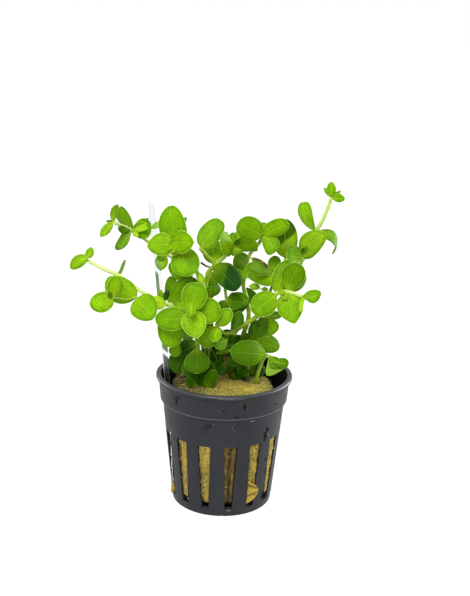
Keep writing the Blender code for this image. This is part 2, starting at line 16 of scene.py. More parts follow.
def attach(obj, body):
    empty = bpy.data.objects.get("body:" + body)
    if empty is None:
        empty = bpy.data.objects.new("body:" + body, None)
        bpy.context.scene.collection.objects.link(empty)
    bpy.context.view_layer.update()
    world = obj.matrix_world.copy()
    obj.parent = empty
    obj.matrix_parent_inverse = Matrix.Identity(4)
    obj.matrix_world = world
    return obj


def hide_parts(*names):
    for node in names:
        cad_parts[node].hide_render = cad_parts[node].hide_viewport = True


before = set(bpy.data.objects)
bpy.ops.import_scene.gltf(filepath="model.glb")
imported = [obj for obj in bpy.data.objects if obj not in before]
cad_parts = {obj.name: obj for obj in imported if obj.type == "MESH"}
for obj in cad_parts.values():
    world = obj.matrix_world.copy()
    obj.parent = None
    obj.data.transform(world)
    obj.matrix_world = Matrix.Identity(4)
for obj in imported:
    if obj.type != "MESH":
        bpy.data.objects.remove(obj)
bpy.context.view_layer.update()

MM = 0.001
UP = Vector((0, 0, 1))

# Camera, which is also the view that the spots are taken from
VIEW_EYE = Vector((0.0, -374.8, 189.8)) * MM
VIEW_AIM = Vector((3.3, 0.0, 80.7)) * MM
VIEW_ROLL = 1.6
VIEW_FOCAL = 1043.0
VIEW_CENTRE = (235.0, 298.0)
PICTURE_LONG_SIDE = 596
SENSOR_WIDTH = 36.0
VIEW_NEAR = 10 * MM
VIEW_FAR = 10.0

# Pot
POT_HEIGHT = 51.0 * MM
LIP_RADIUS = 26.0 * MM
LIP_DEPTH = 1.5 * MM
LIP_ROUND = 0.55 * MM
LIP_FILLET = (0.3 * MM, 0.4 * MM)
LIP_FILLET_GAP = 0.1 * MM
COLLAR_TOP_RADIUS = 24.9 * MM
COLLAR_MIDDLE = (24.6 * MM, 45.0 * MM)
COLLAR_FOOT_RADIUS = 24.3 * MM
COLLAR_FOOT_Z = 41.4 * MM
COLLAR_STEP = 0.5 * MM
COLLAR_EDGE = 0.15 * MM
COLLAR_EDGE_DROP = 0.1 * MM
WALL_TOP_RADIUS = 23.4 * MM
WALL_FOOT_RADIUS = 19.2 * MM
WALL_THICKNESS = 1.1 * MM
WALL_RINGS = (33.0 * MM, 37.0 * MM)
FLOOR_THICKNESS = 1.3 * MM
FLOOR_RING = 10.0 * MM
FLOOR_FILLET = 0.3 * MM
FOOT_ROUND = 0.7 * MM
EDGE_ROUND = 0.12 * MM
SHARP_ANGLE = 50.0
SLOT_COUNT = 14
SLOT_PITCH = 360 / SLOT_COUNT
SLOT_FIRST_ANGLE = -90 + 7.8
SLOT_TOP_Z = 29.7 * MM
SLOT_FOOT_Z = 3.4 * MM
SLOT_TOP_WIDTH = 5.2 * MM
SLOT_FOOT_WIDTH = 2.9 * MM
SLOT_STEPS = 14
SLOT_COLUMNS = 6
BAR_COLUMNS = 8
POT_COLUMNS = SLOT_COUNT * (SLOT_COLUMNS + BAR_COLUMNS)
FLOOR_SLOT_COUNT = 7
FLOOR_SLOT_INNER = 6.5 * MM
FLOOR_SLOT_OUTER = 15.0 * MM
FLOOR_SLOT_WIDTH = 3.0 * MM
PLASTIC_DARK = (0.012, 0.0125, 0.016)
PLASTIC_LIGHT = (0.021, 0.022, 0.028)
# Near black for wet drops and for painted shade inside the wall; pale for scuffs and painted highlights;
# white for painted glints
PLASTIC_WET_AND_SHADE = (0.002, 0.002, 0.003)
PLASTIC_SCUFF_AND_HIGHLIGHT = (0.2, 0.2, 0.22)
PLASTIC_GLINT = (0.9, 0.9, 0.92)

# Rockwool plug, with the gaps that it leaves at the wall on the right at the back and on the left
WOOL_CLEARANCE = 0.35 * MM
WOOL_EDGE_Z = 46.6 * MM
WOOL_CROWN_Z = 49.3 * MM
WOOL_FOOT_Z = 1.9 * MM
WOOL_FOOT_RISE = 4.4 * MM
WOOL_FOOT_TAPER = 6.0 * MM
WOOL_GAP_ANGLE = 38.0
WOOL_GAP_DEPTH = 5.5 * MM
WOOL_GAP_FOOT_Z = 33.0 * MM
WOOL_GAP_SPREAD = 75.0
WOOL_LEFT_GAP_ANGLE = 184.0
WOOL_LEFT_GAP_SPREAD = 38.0
WOOL_LEFT_GAP_DEPTH = 2.6 * MM
WOOL_LEFT_GAP_FOOT_Z = 9.0 * MM
WOOL_LEFT_GAP_RISE = 4.0 * MM
WOOL_BULGE = 1.2 * MM
WOOL_SEGMENTS = 420
WOOL_SIDE_ROWS = 70
WOOL_TOP_ROWS = 64
WOOL_GRAIN = 0.28 * MM
WOOL_GRAIN_SCALE = 900
WOOL_SIDE_LUMP = 0.3 * MM
WOOL_TOP_LUMP = 0.55 * MM
WOOL_LUMP_SCALE = 260
WOOL_GOLD_SCALE = 110
WOOL_PIT = 1.9 * MM
WOOL_PIT_DEPTH = 1.6 * MM
WOOL_CLEFT_DEPTH = 0.9 * MM
WOOL_CLEFT_SPREAD = 1.8
WOOL_CLEFT_STAIN = 7.0
WOOL_LIT_ANGLE = 290.0
WOOL_SHADED_ANGLE = 230.0
WOOL_LIT_SHARE = 0.3
WOOL_TOP_LIT_X = -5.0 * MM
WOOL_TOP_SHADED_X = -13.0 * MM
WOOL_DEEP = (0.15, 0.11, 0.025)
WOOL_TOP_DEEP = (0.08, 0.06, 0.012)
WOOL_PALE = (0.51, 0.39, 0.085)
WOOL_CLOUD = (0.2, 0.16, 0.025)
WOOL_GOLD = (0.58, 0.38, 0.04)
WOOL_SPECK = (0.1, 0.06, 0.02)
# Brown, partly the wool's own colour and partly painted shade; near black for painted shade in the cleft,
# the pits and the shaded side, and for dark streaks
WOOL_BROWN_AND_SHADE = (0.09, 0.055, 0.02)
WOOL_SHADE_AND_STREAKS = (0.015, 0.012, 0.006)
WOOL_TOP_TINT = (0.88, 1.0, 0.62)

# Torn flap and tuft of wool in the slots, and loose fibres
FLAP_Z = 9.6 * MM
FLAP_STEPS = 16
FLAP_HEIGHT = 9.5 * MM
FLAP_TIP_HEIGHT = 0.5 * MM
FLAP_START = -1.9 * MM
FLAP_WIDTH = 4.7 * MM
FLAP_LIFT = 2.1 * MM
FLAP_FOLD = 0.45 * MM
FLAP_FOLDS = 13
FLAP_CLIMB = 0.8 * MM
FLAP_SINK = 0.9 * MM
FLAP_THICKNESS = 0.5 * MM
FLAP_GRAIN = 0.2 * MM
TUFT_PIXEL = (173.5, 488)
TUFT_SIZE = (0.9 * MM, 0.8 * MM, 1.9 * MM)
TUFT_RINGS = 12
TUFT_SIDES = 20
FIBRE_SEED = 11
FIBRE_COUNT = 3600
FIBRE_STEPS = 4
FIBRE_TOP_SHARE = 0.6
FIBRE_FOOT_Z = WOOL_FOOT_Z + 5.0 * MM
FIBRE_LENGTHS = (0.8, 2.4)
FIBRE_RADII = (0.02, 0.045)
FIBRE_TURN = 0.6
FIBRE_DARK = (0.3, 0.22, 0.05)
FIBRE_PALE = (0.8, 0.68, 0.3)

# Label strip
LABEL_WIDTH = 6.6 * MM
LABEL_THICKNESS = 0.4 * MM
LABEL_FOOT = Vector((-21.4, 0.7, 42.0)) * MM
LABEL_TOP = Vector((-28.35, 1.6, 115.3)) * MM
LABEL_EDGE_TURN = -66.0
LABEL_BOW = 0.3 * MM
LABEL_ROWS = 40
LABEL_SIDES = 16
LABEL_SHARP_ANGLE = 40

# Heights in millimetres between which the painted shade of the pot's inside and the painted reflections of
# the leaves on the strip's film come in or go, and the film's colours with those painted ones
FILM_LOW = (57.3, 56.5)
FILM_LEAF_REFLECTION = ((78.5, 79.5), (90.0, 88.0))
FILM_LOW_LEAF_REFLECTION = ((58.7, 59.5), (65.5, 64.5))
FILM_TINT = (0.03, 0.14, 0.24)
FILM_EDGE_TINT = (0.1, 0.14, 0.2)
FILM_SHADE_TINT = (0.04, 0.065, 0.035)
FILM_REFLECTED_LEAF_TINT = (0.11, 0.19, 0.03)

# Stems
STEM_ROOT_Z = 44.5 * MM
STEM_FOOT_RADIUS = 0.85 * MM
STEM_TIP_RADIUS = 0.5 * MM
STEM_STEPS = 10
STEM_SIDES = 14
STEM_RIDGES = 4
STEM_RIDGE_HEIGHT = 0.05
STEM_UNEVENNESS = 0.05
NODE_REACH = 1.0 * MM
NODE_SWELLING = 0.28
# The first colour is the darker foot: partly older stem and partly painted shade
STEM_OLD_AND_SHADED = (0.03, 0.045, 0.008)
STEM_GREEN = (0.24, 0.38, 0.012)
STEM_PALE = (0.58, 0.7, 0.25)
STEM_NODE = (0.4, 0.58, 0.05)
STEM_STREAK = (0.16, 0.24, 0.02)
DRY_DARK = (0.05, 0.018, 0.012)
DRY_PALE = (0.22, 0.1, 0.05)

# Leaves
LEAF_THICKNESS = 0.42 * MM
LEAF_STAND_OFF = 0.1 * MM
LEAF_ROOT = 0.7
SMALL_LEAF_SINK = 0.35 * MM
SEPARATE_LEAF_WIDTH = 7.55
FULL_RIM_WIDTH = 6.5
LEAF_ROWS = 26
LEAF_SIDES = 40
LEAF_WAVES = (0.02, 0.05)
LEAF_WAVE_TURN = 7
LEAF_SWAY = 0.03
STALK_SHARES = (-0.12, -0.05)
STALK_HALF_WIDTH = 0.42 * MM
STALK_THICKNESS = 0.75 * MM
STALK_LEAST = 0.55
BLADE_START = 0.2
GROOVE_DEPTH = 0.09 * MM
GROOVE_WIDTH = 0.45 * MM
BUD_SEED = 7000
BUD_LENGTH = 1.5
BUD_SPREAD = 0.7
BUD_SINK = 0.3 * MM
BUD_RIM_HIGHLIGHT = 0.3
BUD_TONE = 0.8
BUD_PALE = 0.35
BUD_CUP = 0.5
BUD_ROLL = 40
VEIN_PITCH = 0.29
VEIN_WANDER = 0.22
# The tone mixes the first two, partly painted light and shade; LEAF_RIM_SHADE is painted shade inside the
# rim, the colour after it a painted cast shadow, and the last two a painted line along the rim, a highlight
# on bright leaves
LEAF_DARK = (0.007, 0.04, 0.001)
LEAF_BRIGHT = (0.26, 0.54, 0.002)
LEAF_PALE = (0.52, 0.78, 0.03)
LEAF_FOOT = (0.36, 0.58, 0.008)
BELOW_DARK = (0.05, 0.17, 0.02)
BELOW_BRIGHT = (0.19, 0.4, 0.035)
LEAF_MOTTLE = (0.03, 0.12, 0.001)
LEAF_RIM_SHADE = (0.025, 0.1, 0.001)
LEAF_PAINTED_SHADOW = (0.006, 0.05, 0.002)
LINE_DARK = (0.12, 0.26, 0.01)
LINE_PALE = (0.52, 0.72, 0.03)
RIM_DARK = (0.05, 0.15, 0.01)
RIM_HIGHLIGHT = (0.6, 0.86, 0.1)

# Light of the room that falls on the plant, as a share of the white behind it
ROOM_LIGHT = 0.28
GLOSS_LIGHT = 0.55
FLOOR_GREY = (0.1, 0.1, 0.1)
FLOOR_BOUNCE = 0.45
FLOOR_WHITE = 0.99
FLOOR_REACH = 6.0

# Area lights, with their place and size in metres and their power in watts, and where they aim
Light = namedtuple("Light", "place size power")
LIGHT_AIM = Vector((0.0, 0.0, 80.0)) * MM
LIGHTS = {
    "key": Light((-0.15, -0.42, 0.62), 0.45, 5.4),
    "front": Light((0.1, -0.8, 0.3), 0.8, 3.0),
    "left_edge": Light((-0.55, 0.35, 0.2), 0.4, 3.0),
    "right_edge": Light((0.6, 0.3, 0.2), 0.4, 8.0),
}

# Marks on the front of the pot: a pixel of the view, half sizes across and up in millimetres, and strength
Mark = namedtuple("Mark", "pixel half_width half_height strength")
POT_DROPS = (
    Mark((178.5, 397.5), 0.9, 0.8, 0.6),
    Mark((176.3, 402), 0.45, 1.5, 0.8),
    Mark((174, 397), 0.4, 0.9, 0.7),
    Mark((244.6, 407.5), 0.35, 1.4, 0.9),
    Mark((223.6, 411.5), 0.35, 0.6, 0.6),
    Mark((225, 413), 0.4, 0.3, 0.5),
    Mark((236.8, 417.8), 0.6, 0.5, 0.7),
    Mark((276.6, 404.3), 0.4, 0.5, 0.8),
    Mark((209.5, 426), 1.3, 0.9, 0.4),
    Mark((205.5, 429), 0.9, 1.3, 0.35),
    Mark((202.6, 432), 0.6, 0.5, 0.35),
    Mark((167.5, 418.8), 0.5, 0.7, 0.8),
    Mark((170.6, 422.4), 0.4, 0.4, 0.8),
    Mark((267.5, 430), 0.7, 1.4, 0.8),
    Mark((265, 437), 0.7, 2.0, 0.8),
    Mark((262.5, 495), 0.9, 2.2, 0.8),
    Mark((264.5, 471), 0.3, 1.4, 0.6),
    Mark((265.5, 459), 0.4, 1.0, 0.7),
    Mark((172.5, 470), 0.6, 2.6, 0.8),
)
# Pale scuffs and specks, with painted highlights among them
POT_SCUFFS_AND_HIGHLIGHTS = (
    Mark((252.3, 421.2), 0.9, 0.22, 0.9),
    Mark((232.4, 428), 0.15, 0.6, 0.5),
    Mark((234.2, 431.2), 0.15, 0.25, 0.7),
    # The next two are painted highlights at the pot's foot
    Mark((228, 510.5), 0.8, 0.35, 0.7),
    Mark((221.4, 515.5), 0.55, 0.3, 0.7),
    Mark((268.6, 433), 0.14, 1.9, 0.6),
    # The next two are painted highlights along the front of the lip
    Mark((230, 398.6), 4.2, 0.14, 0.5),
    Mark((257.5, 398), 1.6, 0.14, 0.5),
    Mark((206, 440), 0.16, 0.16, 0.8),
    Mark((213, 425), 0.5, 0.12, 0.5),
)
# Painted highlight: a pale line down the edge of a slot on the left
POT_GLINTS = (
    Mark((170.3, 439), 0.22, 3.6, 1.0),
    Mark((170.9, 452), 0.22, 3.6, 1.0),
    Mark((171.5, 465), 0.2, 3.6, 1.0),
    Mark((172.1, 477), 0.18, 3.4, 1.0),
)

# Dry twigs and calyxes: their spots, and the radius in millimetres at the start and the end
TWIG_STEPS = 6
Twig = namedtuple("Twig", "spots start end")
TWIGS = (
    Twig(((201, 262.5, -2), (206, 265.8, -1), (211, 267.6, 0)), 0.5, 0.36),
    Twig(((253, 258.8, -10), (257, 259.6, -10), (261.5, 261.3, -9.5)), 0.45, 0.35),
    Twig(((263.5, 262.5, -9.5), (266, 265, -9), (267.5, 267.5, -8)), 0.65, 0.3),
    Twig(((196, 276.5, -11), (200, 278, -11)), 0.3, 0.2),
    Twig(((224, 356.5, -8), (225, 361, -8), (224.5, 366, -9)), 0.36, 0.2),
)

# A leaf grows at a spot of its stem, by number, or at a spot of its own, to its tip's spot. Its width is in
# millimetres. Tone, pale and glow are how bright it is, how yellow, and how much brighter at its foot:
# partly its own colour and partly painted light and painted shade, set leaf by leaf for how it lies in the
# light or in the shade of other leaves; the near-black leaves low in the pot are painted shade. Under is how
# much its two faces swap colours. The last field is a painted cast shadow: how dark its outer half is on one
# side.
# Roll turns it about its length, in degrees. Arch is a hump along it, cup a fold up of its sides, bend a
# curve sideways and lean how much its two halves differ in width, all as shares of its size. Peak is the
# share of its length where it is widest, and foot and end say how much each end tapers.
Leaf = namedtuple("Leaf", "at tip width tone roll arch cup pale peak foot end bend under lean glow dusk",
                  defaults=(0, 0.05, -0.1, 0.0, 0.48, 0.55, 0.55, 0.0, 0.0, 0.0, 0.4, 0.0))
# A shoot's stem is a row of spots. It forks from a spot of another shoot's stem, or starts in the plug.
# Tone is how pale the stem is, partly painted light, dark the share of its length where that starts, and
# girth its thickness as a share of the usual. Below that share the stem is darker, partly its older colour
# and partly painted shade where leaves shade it. Bud is the size of the bud at its tip, in millimetres, or 0
# for none, and rim how strong the painted line along its leaves' rims is, a highlight on bright leaves.
Shoot = namedtuple("Shoot", "stem leaves fork tone bud girth dark rim",
                   defaults=(None, 0.6, 0.0, 1.0, 0.1, 0.6))

SHOOTS = {
    "upper_left": Shoot(
        stem=((206, 377, 6), (203, 345, 9), (192, 300, 11), (176, 262, 10), (163, 252, 8), (149, 242, 8),
              (131, 230, 3), (113, 222, 0)),
        tone=0.9, girth=1.2, rim=0.15,
        leaves=(
            Leaf(6, (120.5, 206.3, 3), 7.6, 0.75, roll=-52, bend=-0.13, glow=0.6),
            Leaf(6, (115.5, 249, -2), 8.0, 0.95, roll=-60, under=0.3, bend=-0.05),
            Leaf(6, (151.3, 229.5, 0), 7.8, 1.0, roll=-8, cup=0.15, peak=0.66, foot=0.8, end=0.36,
                 glow=1.0),
            Leaf(6, (118.3, 230, -4), 3.6, 0.2, roll=30, peak=0.7, foot=1.8),
            Leaf(7, (117.8, 204.2, -2), 2.8, 0.9, roll=180, under=0.7, bend=0.08),
            Leaf(7, (100, 236.8, -3), 3.6, 1.0, roll=-20, pale=0.3, end=0.8),
            Leaf(7, (106.5, 220.5, 2), 2.2, 0.3, roll=60),
            Leaf(4, (160.5, 271, 6), 5.0, 1.0, pale=0.7, end=0.9),
            Leaf((133.5, 229, 0), (147.5, 222.5, -2), 2.6, 0.9, cup=0.6, pale=0.35, end=0.7),
            Leaf((134, 230, -1), (148, 227.5, -3), 2.4, 1.0, pale=0.45, end=0.6),
            Leaf((141, 224, 0), (148.8, 218, 0), 1.0, 0.4),
            Leaf((128, 228.5, 0), (122.5, 234, -5), 2.4, 0.2),
            Leaf((166, 254, 0), (158, 259.5, -3), 3.4, 0.55),
            Leaf((133, 231, 0), (138, 236.5, -4), 2.0, 0.95, pale=0.5),
        )),
    "behind_left": Shoot(
        stem=((163, 252, 8), (164, 238, 5), (164.5, 222, 3)),
        fork=("upper_left", 4), tone=0.8, girth=0.6, rim=0.1,
        leaves=(
            Leaf(2, (151.3, 228, -4), 2.4, 0.85, under=0.5),
        )),
    "left": Shoot(
        stem=((193, 378, 3), (188, 350, 0), (181, 325, -5), (172.5, 306.5, -8), (161, 303, -8),
              (136, 287.8, -6), (118, 275.2, -3), (103, 268.8, -1), (91, 262.3, 1), (86, 259.5, 1)),
        tone=1.0, girth=1.2, rim=0.35,
        leaves=(
            Leaf(1, (175, 373, -4), 8.4, 0.15, bend=0.05),
            Leaf((181, 345, -5), (170.5, 354.5, -7), 4.6, 1.0, pale=0.2, peak=0.6, end=0.4),
            Leaf(3, (196, 279, -10), 9.8, 0.6, peak=0.52),
            Leaf(3, (171, 275.5, 3), 5.4, 0.5),
            Leaf(3, (171, 347.5, -13), 9.9, 0.95, peak=0.52, end=0.46, glow=0.3),
            Leaf(4, (160.5, 289.5, -8), 2.2, 0.6, pale=0.2),
            Leaf(4, (168.5, 290, -5.5), 3.6, 0.05, roll=50),
            Leaf(6, (125.8, 261, 2), 7.5, 0.6, roll=80, under=0.4),
            Leaf((89, 255.5, 0), (70.5, 268.5, 0), 4.7, 1.0, pale=0.2, end=0.6, foot=0.7, bend=0.08),
            Leaf((87, 258.5, 1), (91.8, 247.3, 3), 3.2, 0.9, peak=0.45, foot=0.36, end=0.6),
            Leaf((167, 304.5, -10), (149, 296.5, -11), 2.8, 1.0, pale=0.9, end=0.9),
            Leaf((166, 305, -11), (154, 307, -12), 2.2, 1.0, pale=0.8, end=0.9),
        )),
    "left_lower": Shoot(
        stem=((161, 303, -8), (149, 303, -10), (136.5, 298, -10), (126, 299.3, -12.5), (113.5, 297, -14)),
        fork=("left", 4), tone=0.6, girth=0.65, rim=0.45,
        leaves=(
            Leaf(2, (106, 279.5, -8), 9.8, 0.95, cup=0.05, glow=0.9, bend=-0.03),
            Leaf(2, (154, 318.5, -17), 10.3, 0.8, peak=0.36, foot=0.34, end=0.6, glow=0.3),
            Leaf(4, (117, 275.5, -17), 6.0, 1.0, pale=0.1, foot=0.45),
            Leaf(4, (90.3, 306.5, -14), 7.5, 1.0, pale=0.15, foot=0.4, glow=0.9),
            Leaf(4, (107.5, 294, -16), 2.2, 0.35),
        )),
    "top_left": Shoot(
        stem=((206, 381, 0), (207, 345, -1), (206, 310, -2), (203.5, 288, -3), (198.5, 275, -5),
              (189, 259, -7), (180, 247, -10), (173, 243, -13)),
        tone=0.75, girth=1.25, rim=0.65,
        leaves=(
            Leaf(6, (170, 205.5, -9), 9.9, 0.8, peak=0.5, foot=0.45, bend=-0.09, glow=0.7),
            Leaf(6, (192.3, 275.5, -15), 10.4, 0.78, peak=0.5, bend=0.02),
            Leaf(5, (180, 281.5, -8), 9.8, 1.0, bend=0.12),
            Leaf(7, (147.0, 246.5, -14), 8.4, 0.85, pale=0.1, peak=0.36, foot=0.34, end=0.72, glow=1.0),
            Leaf(7, (193.8, 242.5, -18), 8.4, 0.8, peak=0.34, foot=0.34, end=0.72),
            Leaf(7, (172, 253, -16), 2.6, 0.9, pale=0.5),
            Leaf((181, 225, 0), (186.4, 217.3, 0), 1.6, 0.5),
            Leaf((178, 246, -12), (169, 241, -15), 3.4, 0.95, pale=0.3),
            Leaf((174, 244, -13), (174.5, 256, -14), 3.4, 0.8, pale=0.4, end=0.8),
            Leaf((174, 243, -13), (167, 250, -17), 2.4, 0.95, pale=0.2, end=0.8),
            Leaf((182, 247, -11), (180, 257, -12), 4.0, 0.75, pale=0.2),
            Leaf((198.5, 272, -12), (202.5, 284, -14), 2.8, 1.0, pale=0.6),
        )),
    "front_left": Shoot(
        stem=((201, 388, -5), (199.5, 366, -8), (197.5, 343, -11), (195, 327, -14), (192, 316, -16),
              (190.5, 311, -19)),
        tone=0.35, rim=0.72,
        leaves=(
            Leaf(5, (197.5, 282.5, -16), 9.2, 0.68, peak=0.56, foot=0.4, end=0.48, glow=0.6),
            Leaf(5, (197.6, 338.5, -25), 8.8, 1.0, pale=0.08, peak=0.4, foot=0.34, end=0.78, glow=0.9),
            Leaf(3, (183, 337.5, -8), 5.4, 0.55, under=0.7),
            Leaf(4, (155, 320, -17), 8.7, 0.7, peak=0.52, foot=0.8, glow=0.8),
            Leaf(4, (220, 306.5, -15), 9.4, 0.78, peak=0.58, end=0.45, foot=0.6, glow=0.9),
            Leaf(2, (196.2, 373.8, -15), 9.5, 0.24, peak=0.62, foot=2.1, end=0.5, glow=1.0),
            Leaf(2, (179, 353, -4), 7.4, -0.2),
            Leaf(1, (182, 371, -10), 6.6, 0.12),
            Leaf((190.8, 304, -20), (191.3, 316, -26), 3.4, 1.0, peak=0.4, foot=0.34, end=0.4),
            Leaf((192, 314, -26), (186.5, 317.5, -28), 1.7, 0.6),
            Leaf((194, 312, -16), (175.5, 305.5, -11), 4.2, 0.95, pale=0.15),
            Leaf((197, 320, -8), (212, 331, -9), 6.5, 0.75),
            Leaf((206, 389, -11), (215, 370, -13), 4.8, 0.15, foot=0.45, end=0.5),
            Leaf((205, 388, -9), (199, 371, -11), 5.0, 0.0),
            Leaf((207, 387, -9), (210, 361, -10), 6.0, 0.05),
            Leaf((197, 386, -10), (188, 376, -11), 5.5, 0.05),
            Leaf((204, 382, -6), (212, 368, -9), 5.0, 0.0),
            Leaf((210, 374, 3), (205, 349, 3), 7.0, 0.1),
            Leaf((216, 370, 6), (218, 341, 6), 7.2, 0.05),
            Leaf((218, 376, 3), (226, 358, 2), 6.0, 0.0),
        )),
    "centre": Shoot(
        stem=((212, 377, 5), (209, 345, 4), (206, 315, 3), (205, 290, 1), (208.5, 273, 0),
              (214.5, 264.5, -1), (207, 256, -2), (200, 248, -3)),
        tone=0.5, girth=1.3, rim=0.3,
        leaves=(
            Leaf(7, (221.5, 220, -4), 8.1, 1.0, under=0.3, end=0.4, foot=0.38, bend=-0.02, peak=0.45),
            Leaf(5, (212, 239, 6), 8.4, 0.85, glow=1.0),
            Leaf(5, (238.5, 289, -9), 8.7, 0.14, dusk=-1.0, end=0.42, lean=0.14),
            Leaf(4, (217, 284.5, 5), 5.6, 0.95),
            Leaf(3, (221, 288, 5), 5.2, 0.4),
            Leaf((205, 300, 1), (213, 287, -1), 4.4, 0.6),
            Leaf((214.5, 262, 2), (216, 243, 4), 5.4, 1.0, pale=0.35, glow=1.0),
        )),
    "centre_right": Shoot(
        stem=((214.5, 264.5, -1), (225, 256, 0), (233.5, 245.5, -1)),
        fork=("centre", 5), tone=0.65, bud=1.0, girth=1.1, rim=0.5,
        leaves=(
            Leaf(2, (219.5, 243, -9), 9.4, 0.85, roll=17),
            Leaf(2, (258, 243.5, -6), 7.4, 0.9, roll=40, glow=0.9),
            Leaf(2, (233, 232.3, 0), 3.4, 0.7),
            Leaf(2, (244, 231, 2), 5.4, 0.95),
            Leaf(2, (243, 252.5, -2.5), 3.6, 0.8, pale=0.3),
            Leaf((234, 245, -3), (239.5, 240.5, -6), 2.0, 0.15),
            Leaf((233.5, 246, -1), (237, 256, -2), 4.4, 0.85, pale=0.3),
            Leaf((252, 247, -1), (257.5, 250.5, -3), 2.0, 0.5),
        )),
    "top": Shoot(
        stem=((243, 380, 1), (241, 345, -2), (248.5, 318, -2), (247, 300, 0), (243.5, 285, 1),
              (246.5, 265.5, 0), (250, 254, 0), (257, 246, -1), (263.5, 235.5, -4)),
        tone=0.62, bud=1.1, girth=1.15, rim=0.4,
        leaves=(
            Leaf(8, (237.3, 223.5, -11), 9.1, 0.8, peak=0.5, foot=0.62, end=0.44, bend=0.04),
            Leaf(8, (287.6, 221.5, -9), 6.8, 0.95, roll=20, glow=0.8, end=0.4, bend=-0.04),
            Leaf(8, (272, 254.5, -8), 6.2, 0.72, peak=0.55, end=0.45, bend=-0.16),
            Leaf(8, (263, 222, -1), 4.6, 0.9, roll=8),
            Leaf(5, (233.5, 257, -9), 6.6, 0.42),
            Leaf(5, (241, 279, -4), 5.0, 0.85),
        )),
    "right": Shoot(
        stem=((232, 377, 0), (226.5, 362, -4), (226.5, 349, -6), (234, 332.5, -8), (246, 323.5, -9),
              (258, 315.5, -9), (268, 303, -9), (276, 294, -9), (287, 291.5, -10), (302.5, 296.5, -12)),
        tone=0.9, bud=1.0, girth=1.3, dark=0.34, rim=0.7,
        leaves=(
            Leaf(3, (240.5, 311, -10), 4.6, 0.2, under=0.3),
            Leaf(3, (218, 349.5, -6), 6.0, 0.3),
            Leaf(7, (252.5, 312.5, -14), 9.2, 0.72, foot=0.75),
            Leaf(7, (288.5, 260, -5), 7.0, 0.65),
            Leaf(8, (299.5, 263.5, -12), 8.6, 0.5, peak=0.58, foot=0.6, glow=0.8),
            Leaf(8, (294.7, 324, -16), 9.8, 0.78, peak=0.38, foot=0.42, end=0.85, glow=1.0),
            Leaf(8, (303.5, 270, 0), 7.0, 0.4),
            Leaf(9, (321.2, 292.5, -12), 5.0, 0.8, bend=0.14, foot=0.75, end=0.65),
            Leaf(9, (300, 311.5, -20), 1.6, 0.9, pale=0.6, cup=0.5),
            Leaf((287, 291.5, -10), (283, 299, -13), 3.6, 0.95, pale=0.4, glow=1.0),
            Leaf((285, 291, -9), (292, 284, -11), 3.4, 0.95, pale=0.3, glow=1.0),
            Leaf((277, 293.5, -11), (284.5, 291, -13), 2.2, 0.9, pale=0.5),
            Leaf((232, 352, -6), (233, 334, -9), 3.2, 0.0),
            Leaf((227, 340, -10), (214.5, 347, -16), 5.0, 0.55),
            Leaf((232, 350, -8), (215.5, 353.5, -10), 1.8, 0.4, under=0.5),
            Leaf((226.5, 362, -4), (214, 372, -7), 5.5, 0.0),
            Leaf((228, 370, -2), (236, 353, -7), 6.0, 0.0),
            Leaf((226, 356, -5), (240, 364, -8), 5.2, 0.05),
            Leaf((227, 366, -3), (222, 354, -6), 4.6, 0.1),
            Leaf((230, 374, -1), (244, 372, -4), 5.2, 0.0),
        )),
    "right_top": Shoot(
        stem=((287, 291.5, -10), (295, 275, 3), (303, 257, 1), (309, 243, 2), (316, 231.5, 2.5),
              (323.5, 218.5, 2), (329.3, 204, 2), (331.6, 197.5, 2)),
        fork=("right", 8), tone=0.82, bud=0.8, girth=1.3, rim=0.2,
        leaves=(
            Leaf(2, (286.8, 253.5, -6), 9.4, 1.0, roll=17, under=0.6, bend=-0.05),
            Leaf(2, (325.5, 231.5, -9), 8.4, 1.0, pale=0.42, bend=-0.1, glow=0.8),
            Leaf(4, (303.5, 202, 2), 7.6, 1.0, roll=-48, arch=0.08, pale=0.15, peak=0.62, foot=0.8,
                 end=0.34, bend=-0.06),
            Leaf(4, (332, 253.8, 6), 7.8, 0.45, roll=-66, arch=0.42, under=0.3, end=0.7),
            Leaf(7, (331, 181.8, 1), 3.4, 1.0, glow=0.6),
            Leaf(7, (345, 198, -2), 3.4, 1.0, roll=20, glow=0.6),
            Leaf(7, (324.3, 187.8, 4), 2.2, 0.8, roll=40),
            Leaf(7, (341.2, 190.5, 5), 1.3, 0.6, end=0.8),
            Leaf((303, 254, -5), (307.5, 246.5, -9), 2.2, 0.7),
            Leaf((303, 255, -5), (303, 247.5, -9), 1.3, 0.2),
        )),
    "right_back": Shoot(
        stem=((295, 275, 3), (289, 267, 5), (285, 258, 4)),
        fork=("right_top", 1), tone=0.8, girth=1.1, rim=0.2,
        leaves=(
            Leaf(2, (285.5, 218.8, 0), 9.4, 1.0, pale=0.55, foot=0.5, glow=1.0, dusk=-0.85),
            Leaf(1, (276, 271, 8), 5.0, 0.5),
        )),
    "right_mid": Shoot(
        stem=((246, 381, -2), (248, 368, 0), (249, 345, 4), (262, 315, 3), (269.5, 293, -3), (274, 281, -4),
              (272.5, 272, -4)),
        tone=0.62, bud=1.0,
        leaves=(
            Leaf(6, (246, 276, -8), 9.2, 0.62, roll=35, glow=0.9, bend=-0.14, peak=0.24, foot=0.36,
                 end=0.85),
            Leaf(6, (276.5, 255.5, 0), 5.0, 0.6),
            Leaf(6, (245, 267, -16), 5.2, 0.55, roll=10),
            Leaf(3, (245, 288, 8), 6.0, 0.35),
            Leaf(1, (237.5, 369, -5), 5.2, 0.0),
            Leaf((250, 372, 0), (264, 371, -1), 4.6, 0.05),
            Leaf((251, 368, 0), (263, 363.5, -1), 4.0, 0.1),
            Leaf((247, 374, -5), (238, 366, -9), 4.6, 0.05),
            Leaf((249, 376, -6), (243, 370, -9), 3.4, 0.0),
            Leaf((249, 286, -2), (260, 287.5, -6), 2.6, 1.0, pale=0.7, glow=1.0),
            Leaf((261, 289, -4), (268, 290, -6), 1.8, 1.0, pale=0.9),
